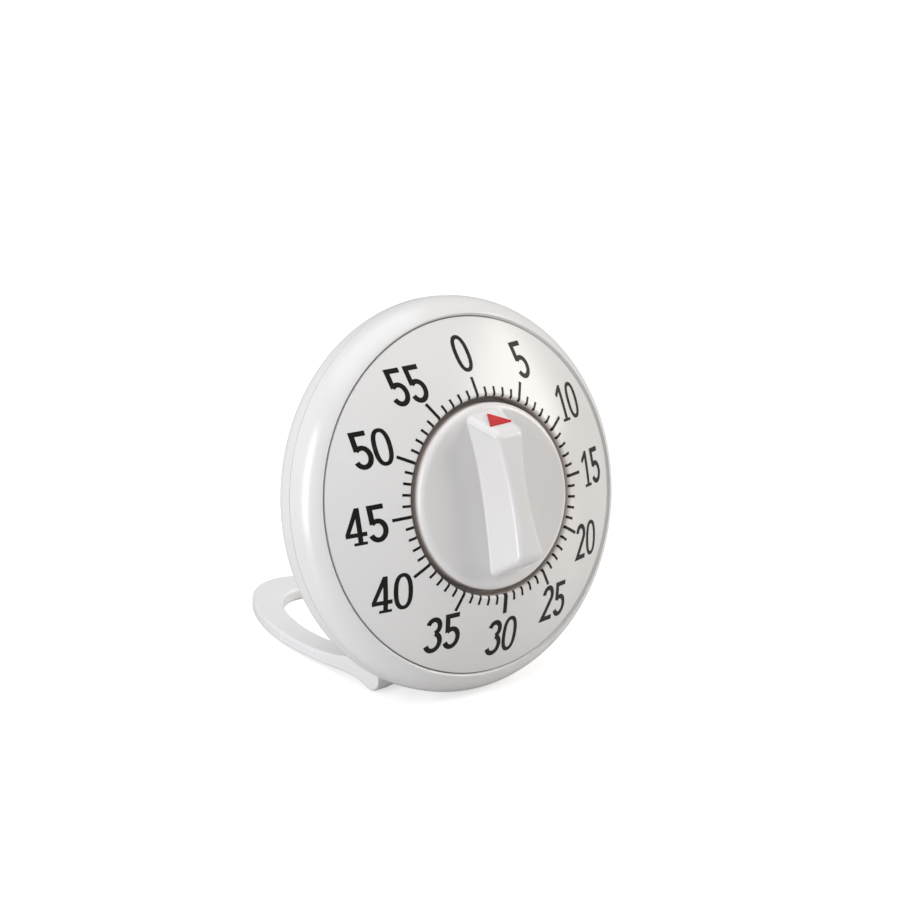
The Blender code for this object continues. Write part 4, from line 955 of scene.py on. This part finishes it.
def grip_ring(level, grow, drop):
    """Closed ring of the grip at a level from 0, the disc, to 1, the top, grown and lowered."""
    taper = level - drop / (sum(GRIP_TOP_HEIGHTS) / 2 - KNOB_FRONT)

    def mixed(base, top):
        return [low + (high - low) * taper for low, high in zip(base, top)]

    lengths = [length + grow for length in mixed(GRIP_BASE_HALF_LENGTHS, GRIP_TOP_HALF_LENGTHS)]
    widths = [width + grow for width in mixed(GRIP_BASE_HALF_WIDTHS, GRIP_TOP_HALF_WIDTHS)]
    corner = max(GRIP_CORNER_ROUND + grow, FINE_EDGE)
    half = sum(lengths) / 2
    middle = (lengths[1] - lengths[0]) / 2
    inner = half - corner
    shares = side_shares(inner / half)
    right = [(grip_width(widths, share), middle + share * half) for share in shares]
    upper = arc((widths[2] - corner, middle + inner), corner, 0.0, 90.0, 5)[1:]
    lower = arc((widths[0] - corner, middle - inner), corner, -90.0, 0.0, 5)[:-1]
    half_ring = lower + right + upper
    ring = half_ring + [(-x, y) for x, y in reversed(half_ring)]
    points = []
    for x, y in ring:
        height = KNOB_FRONT + (grip_top(y) - KNOB_FRONT) * level - drop
        points.append(Vector((x, y, height)))
    return points


def side_shares(limit):
    """Even shares along the grip's side, from -limit to limit."""
    steps = GRIP_SIDE_STEPS
    return [-limit + 2 * limit * step / steps for step in range(steps + 1)]


def grip_bmesh():
    """Waisted grip bar: rings through its foot's fillet, its sides and its rounded top edge."""
    rings = [grip_ring(0.0, GRIP_FILLET, GRIP_ROOT)]
    span = GRIP_TOP_HEIGHTS[1] - KNOB_FRONT
    for step in range(GRIP_FILLET_STEPS + 1):
        angle = math.pi / 2 * step / GRIP_FILLET_STEPS
        level = GRIP_FILLET * (1 - math.cos(angle)) / span
        rings.append(grip_ring(level, GRIP_FILLET * (1 - math.sin(angle)), 0.0))
    for level in GRIP_LEVELS:
        rings.append(grip_ring(level, 0.0, 0.0))
    for step in range(GRIP_EDGE_STEPS + 1):
        angle = math.pi / 2 * step / GRIP_EDGE_STEPS
        inset = GRIP_EDGE_ROUND * (1 - math.cos(angle))
        drop = GRIP_EDGE_ROUND * (1 - math.sin(angle))
        rings.append(grip_ring(1.0, -inset, drop))
    work = bmesh.new()
    loops = [[work.verts.new(point) for point in ring] for ring in rings]
    for ring, following in zip(loops, loops[1:]):
        count = len(ring)
        for index in range(count):
            other = (index + 1) % count
            work.faces.new((ring[index], ring[other], following[other], following[index]))
    cap(work, loops[-1])
    work.faces.new(loops[0][::-1])
    bmesh.ops.recalc_face_normals(work, faces=work.faces)
    return work


def cap(work, ring):
    """Close a ring that is its own mirror image with a row of faces across it."""
    count = len(ring)
    for index in range(count // 2 - 1):
        work.faces.new((ring[index], ring[index + 1], ring[count - 2 - index], ring[count - 1 - index]))


def make_knob():
    """Hollow disc with its skirt and hub, joined with the grip."""
    under = KNOB_FRONT - KNOB_WALL
    inner = KNOB_RADIUS - KNOB_WALL
    corners = [(0.0, KNOB_FRONT, 0.0), (KNOB_RADIUS, KNOB_FRONT, KNOB_EDGE_ROUND)]
    corners += [(radius, KNOB_SKIRT_END, KNOB_SKIRT_ROUND) for radius in (KNOB_RADIUS, inner)]
    corners += [(inner, under, KNOB_UNDER_ROUND), (HUB_RADIUS, under, 0.0)]
    corners += [(HUB_RADIUS, KNOB_SKIRT_END, HUB_EDGE_ROUND), (0.0, KNOB_SKIRT_END, 0.0)]
    knob = turned("timer_knob", rounded(corners, False), False)
    grip = new_object("grip", mesh_from(grip_bmesh(), "grip"))
    combine(knob, [grip], "UNION")
    bore = bored(HUB_BORE_RADIUS, KNOB_SKIRT_END - FINE_EDGE, KNOB_FRONT + HUB_BORE_RISE)
    combine(knob, [bore], "DIFFERENCE")
    dress(smooth(knob, 50.0), KNOB_WHITE, "knob", "white_knob", "knob")


def end_face_point(height):
    """Y of the grip's 12 o'clock end face at this height."""
    share = (height - KNOB_FRONT) / (GRIP_TOP_HEIGHTS[1] - KNOB_FRONT)
    base = GRIP_BASE_HALF_LENGTHS[1]
    return base + share * (GRIP_TOP_HALF_LENGTHS[1] - base)


def make_pointer():
    """Red triangle in the grip's end face, with its tip towards the dial."""
    top = Vector((0.0, end_face_point(POINTER_TOP), POINTER_TOP))
    tip = Vector((0.0, end_face_point(POINTER_TIP), POINTER_TIP))
    length = (tip - top).length
    half = POINTER_HALF_WIDTH
    corners = [(x, 0.0, POINTER_CORNER_ROUND) for x in (-half, half)]
    corners.append((0.0, length, POINTER_TIP_ROUND))
    work = filled([rounded(corners)], -POINTER_DEPTH, POINTER_PROUD)
    down = (tip - top).normalized()
    across = Vector((-1.0, 0.0, 0.0))
    turn = Matrix((across, down, across.cross(down))).transposed().to_4x4()
    bmesh.ops.transform(work, matrix=Matrix.Translation(top) @ turn, verts=work.verts)
    bmesh.ops.recalc_face_normals(work, faces=work.faces)
    pointer = new_object("red_pointer", mesh_from(work, "red_pointer"))
    dress(smooth(pointer), POINTER_RED, "knob", "red_plastic", "pointer_inlay")


# ---------------------------------------------------------------- stand
def eased(points, y):
    """Smooth curve through (y, height) points: a cubic between each pair."""
    if y <= points[0][0]:
        return points[0][1]
    for index in range(len(points) - 1):
        (y0, h0), (y1, h1) = points[index], points[index + 1]
        if y <= y1:
            break
    before = points[index - 1] if index else points[0]
    after = points[index + 2] if index + 2 < len(points) else points[-1]
    span = y1 - y0
    slope0 = (h1 - before[1]) / (y1 - before[0])
    slope1 = (after[1] - h0) / (after[0] - y0)
    t = (y - y0) / span
    rise = (2 * t**3 - 3 * t**2 + 1) * h0 + (t**3 - 2 * t**2 + t) * span * slope0
    return rise + (3 * t**2 - 2 * t**3) * h1 + (t**3 - t**2) * span * slope1


def stand_levels(y):
    """(low, high) of the stand at a distance behind the hinge, from the hinge's height."""
    low = eased(STAND_LOW, y) - HINGE_HEIGHT
    high = eased(STAND_HIGH, y) - HINGE_HEIGHT
    if abs(y) < KNUCKLE_RADIUS:
        bulge = math.sqrt(KNUCKLE_RADIUS**2 - y**2)
        if y < STAND_LOW[0][0]:
            low = -bulge
        if y < STAND_HIGH[0][0]:
            high = bulge
    if y <= -KNUCKLE_RADIUS:
        low = high = 0.0
    return max(low, -HINGE_HEIGHT), high


def make_stand():
    """Loop stand: a flat blank with its hole, brought to its two sides' heights, and two pegs."""
    half = STAND_HALF_WIDTH
    near = -KNUCKLE_RADIUS
    outline = [(-half, near), (-KNUCKLE_INNER, near), (-KNUCKLE_INNER, LUG_ROOM)]
    outline += [(KNUCKLE_INNER, LUG_ROOM), (KNUCKLE_INNER, near), (half, near)]
    outline += bowl((0.0, STAND_REACH - STAND_NOSE), half, STAND_NOSE, 0.0, 180.0, 64)
    hole_half = STAND_HOLE_HALF_WIDTH
    corners = [(side * hole_half, STAND_HOLE_NEAR, STAND_HOLE_CORNER) for side in (-1, 1)]
    hole_middle = (0.0, STAND_HOLE_FAR - STAND_HOLE_NOSE)
    corners += smooth_points(bowl(hole_middle, hole_half, STAND_HOLE_NOSE, 0.0, 180.0, 48))
    work = filled([outline, rounded(corners)], 0.0, STAND_BLANK, STAND_EDGE_ROUND, 1e-6)
    slice_up(work, STAND_SLICE, near, STAND_REACH, 1)
    slice_up(work, STAND_FINE_SLICE, near, near + STAND_FINE_SLICES_END, 1)
    for vertex in work.verts:
        low, high = stand_levels(vertex.co.y)
        vertex.co.z = stand_height(vertex.co.z, low, high)
    bmesh.ops.remove_doubles(work, verts=work.verts, dist=2e-6)
    bmesh.ops.recalc_face_normals(work, faces=work.faces)
    stand = new_object("loop_stand", mesh_from(work, "loop_stand"), STAND)
    pegs = [peg(side) for side in (-1, 1)]
    combine(stand, pegs, "UNION")
    dress(smooth(stand, 45.0), STAND_WHITE, "stand", "white_plastic", "stand")


def stand_height(z, low, high):
    """Place a level of the flat blank between the stand's two sides, with its edges kept round."""
    edge = min(STAND_EDGE_ROUND, (high - low) / 2)
    scale = edge / STAND_EDGE_ROUND
    if z < STAND_EDGE_ROUND:
        return low + z * scale
    if z > STAND_BLANK - STAND_EDGE_ROUND:
        return high - (STAND_BLANK - z) * scale
    share = (z - STAND_EDGE_ROUND) / (STAND_BLANK - 2 * STAND_EDGE_ROUND)
    return low + edge + (high - low - 2 * edge) * share


def peg(side):
    """Peg on the inner face of one knuckle, for the lug's socket."""
    low, high = sorted((side * (KNUCKLE_INNER + PEG_ROOT), side * (KNUCKLE_INNER - PEG_LENGTH)))
    return along_x(PEG_RADIUS, low, high, STAND)


# ---------------------------------------------------------------- movement, kept as the CAD made it
PLATES = ("movement_front_plate", "movement_rear_plate")
PILLARS = ("pillar_1", "pillar_2", "pillar_3")
FINISHES = {
    BRASS: (*PLATES, *PILLARS, "main_wheel", "stop_cam"),
    NYLON: ("second_wheel", "third_wheel", "escape_wheel"),
    SPRING_STEEL: ("mainspring", "clutch_spring"),
    BELL_STEEL: ("bell",),
}


def finish_movement():
    """Give each CAD mesh that is still shown its metal or nylon; the rest are steel."""
    named = {name: material for material, names in FINISHES.items() for name in names}
    for name, node in frame["nodes"].items():
        if node.hide_render:
            continue
        node.data.materials.clear()
        node.data.materials.append(named.get(name, STEEL))


# ---------------------------------------------------------------- stage
def make_floor():
    """Wide pale floor; its glow is for the lens only and doesn't light the timer."""
    work = bmesh.new()
    bmesh.ops.create_grid(work, x_segments=8, y_segments=8, size=FLOOR_HALF_SIZE)
    place = Matrix.Translation((0.0, 0.0, -FLOOR_BELOW))
    floor = new_object("floor", mesh_from(work, "floor"), place)
    material, tree, shader = new_material("floor_white")
    where = add(tree, "ShaderNodeTexCoord", {}).outputs["Object"]
    soft = noise(tree, where, 6.0, 3.0)
    stops = [(0.3, (0.68, 0.68, 0.68)), (0.7, (0.70, 0.70, 0.70))]
    tree.links.new(ramp(tree, soft, stops), shader.inputs["Base Color"])
    shader.inputs["Roughness"].default_value = 0.12
    shader.inputs["Emission Color"].default_value = (1.0, 1.0, 1.0, 1.0)
    seen = add(tree, "ShaderNodeLightPath", {}).outputs["Is Camera Ray"]
    glow = spread(tree, seen, 0.0, FLOOR_GLOW, 0.0, 1.0)
    tree.links.new(glow, shader.inputs["Emission Strength"])
    floor.data.materials.append(material)


def make_light(name, location, size, power, color):
    """Rectangular lamp, turned towards the middle of the timer."""
    data = bpy.data.lights.new(name, "AREA")
    data.shape = "RECTANGLE"
    data.size = size[0]
    data.size_y = size[1]
    data.energy = power
    data.color = color
    light = bpy.data.objects.new(name, data)
    light.location = location
    aim = Vector(LIGHT_TARGET) - Vector(location)
    light.rotation_euler = aim.to_track_quat("-Z", "Y").to_euler()
    bpy.context.scene.collection.objects.link(light)


def make_world():
    """Even pale surroundings; what the lens sees behind the timer is plain white."""
    world = bpy.data.worlds.new("studio")
    bpy.context.scene.world = world
    world.use_nodes = True
    tree = world.node_tree
    background = tree.nodes["Background"]
    seen = add(tree, "ShaderNodeLightPath", {}).outputs["Is Camera Ray"]
    strength = spread(tree, seen, SURROUNDINGS, 1.0, 0.0, 1.0)
    tree.links.new(strength, background.inputs["Strength"])
    background.inputs["Color"].default_value = (1.0, 1.0, 1.0, 1.0)


def make_camera():
    """Camera at the place and in the direction worked out from the photograph."""
    right = Vector((math.cos(CAMERA_AZIMUTH), math.sin(CAMERA_AZIMUTH), 0.0))
    level = Vector((math.sin(CAMERA_AZIMUTH), -math.cos(CAMERA_AZIMUTH), 0.0))
    back = level * math.cos(CAMERA_ELEVATION) + Vector((0.0, 0.0, math.sin(CAMERA_ELEVATION)))
    up = back.cross(right)
    data = bpy.data.cameras.new("camera")
    data.lens = CAMERA_LENS
    data.sensor_width = CAMERA_SENSOR
    data.clip_start = 0.01
    camera = bpy.data.objects.new("camera", data)
    bpy.context.scene.collection.objects.link(camera)
    matrix = Matrix((right, up, back)).transposed().to_4x4()
    offset = CAMERA_OFFSET
    matrix.translation = CASE.translation + right * offset[0] + up * offset[1] + back * offset[2]
    camera.matrix_world = matrix
    bpy.context.scene.camera = camera


make_front_shell()
make_rear_cover()
make_case_screws()
make_dial()
make_marks()
make_numerals()
make_knob()
make_pointer()
make_stand()
finish_movement()
make_floor()
make_world()
for light_name, light_settings in LIGHTS.items():
    make_light(light_name, *light_settings)
make_camera()
bpy.context.scene.view_settings.view_transform = "Standard"
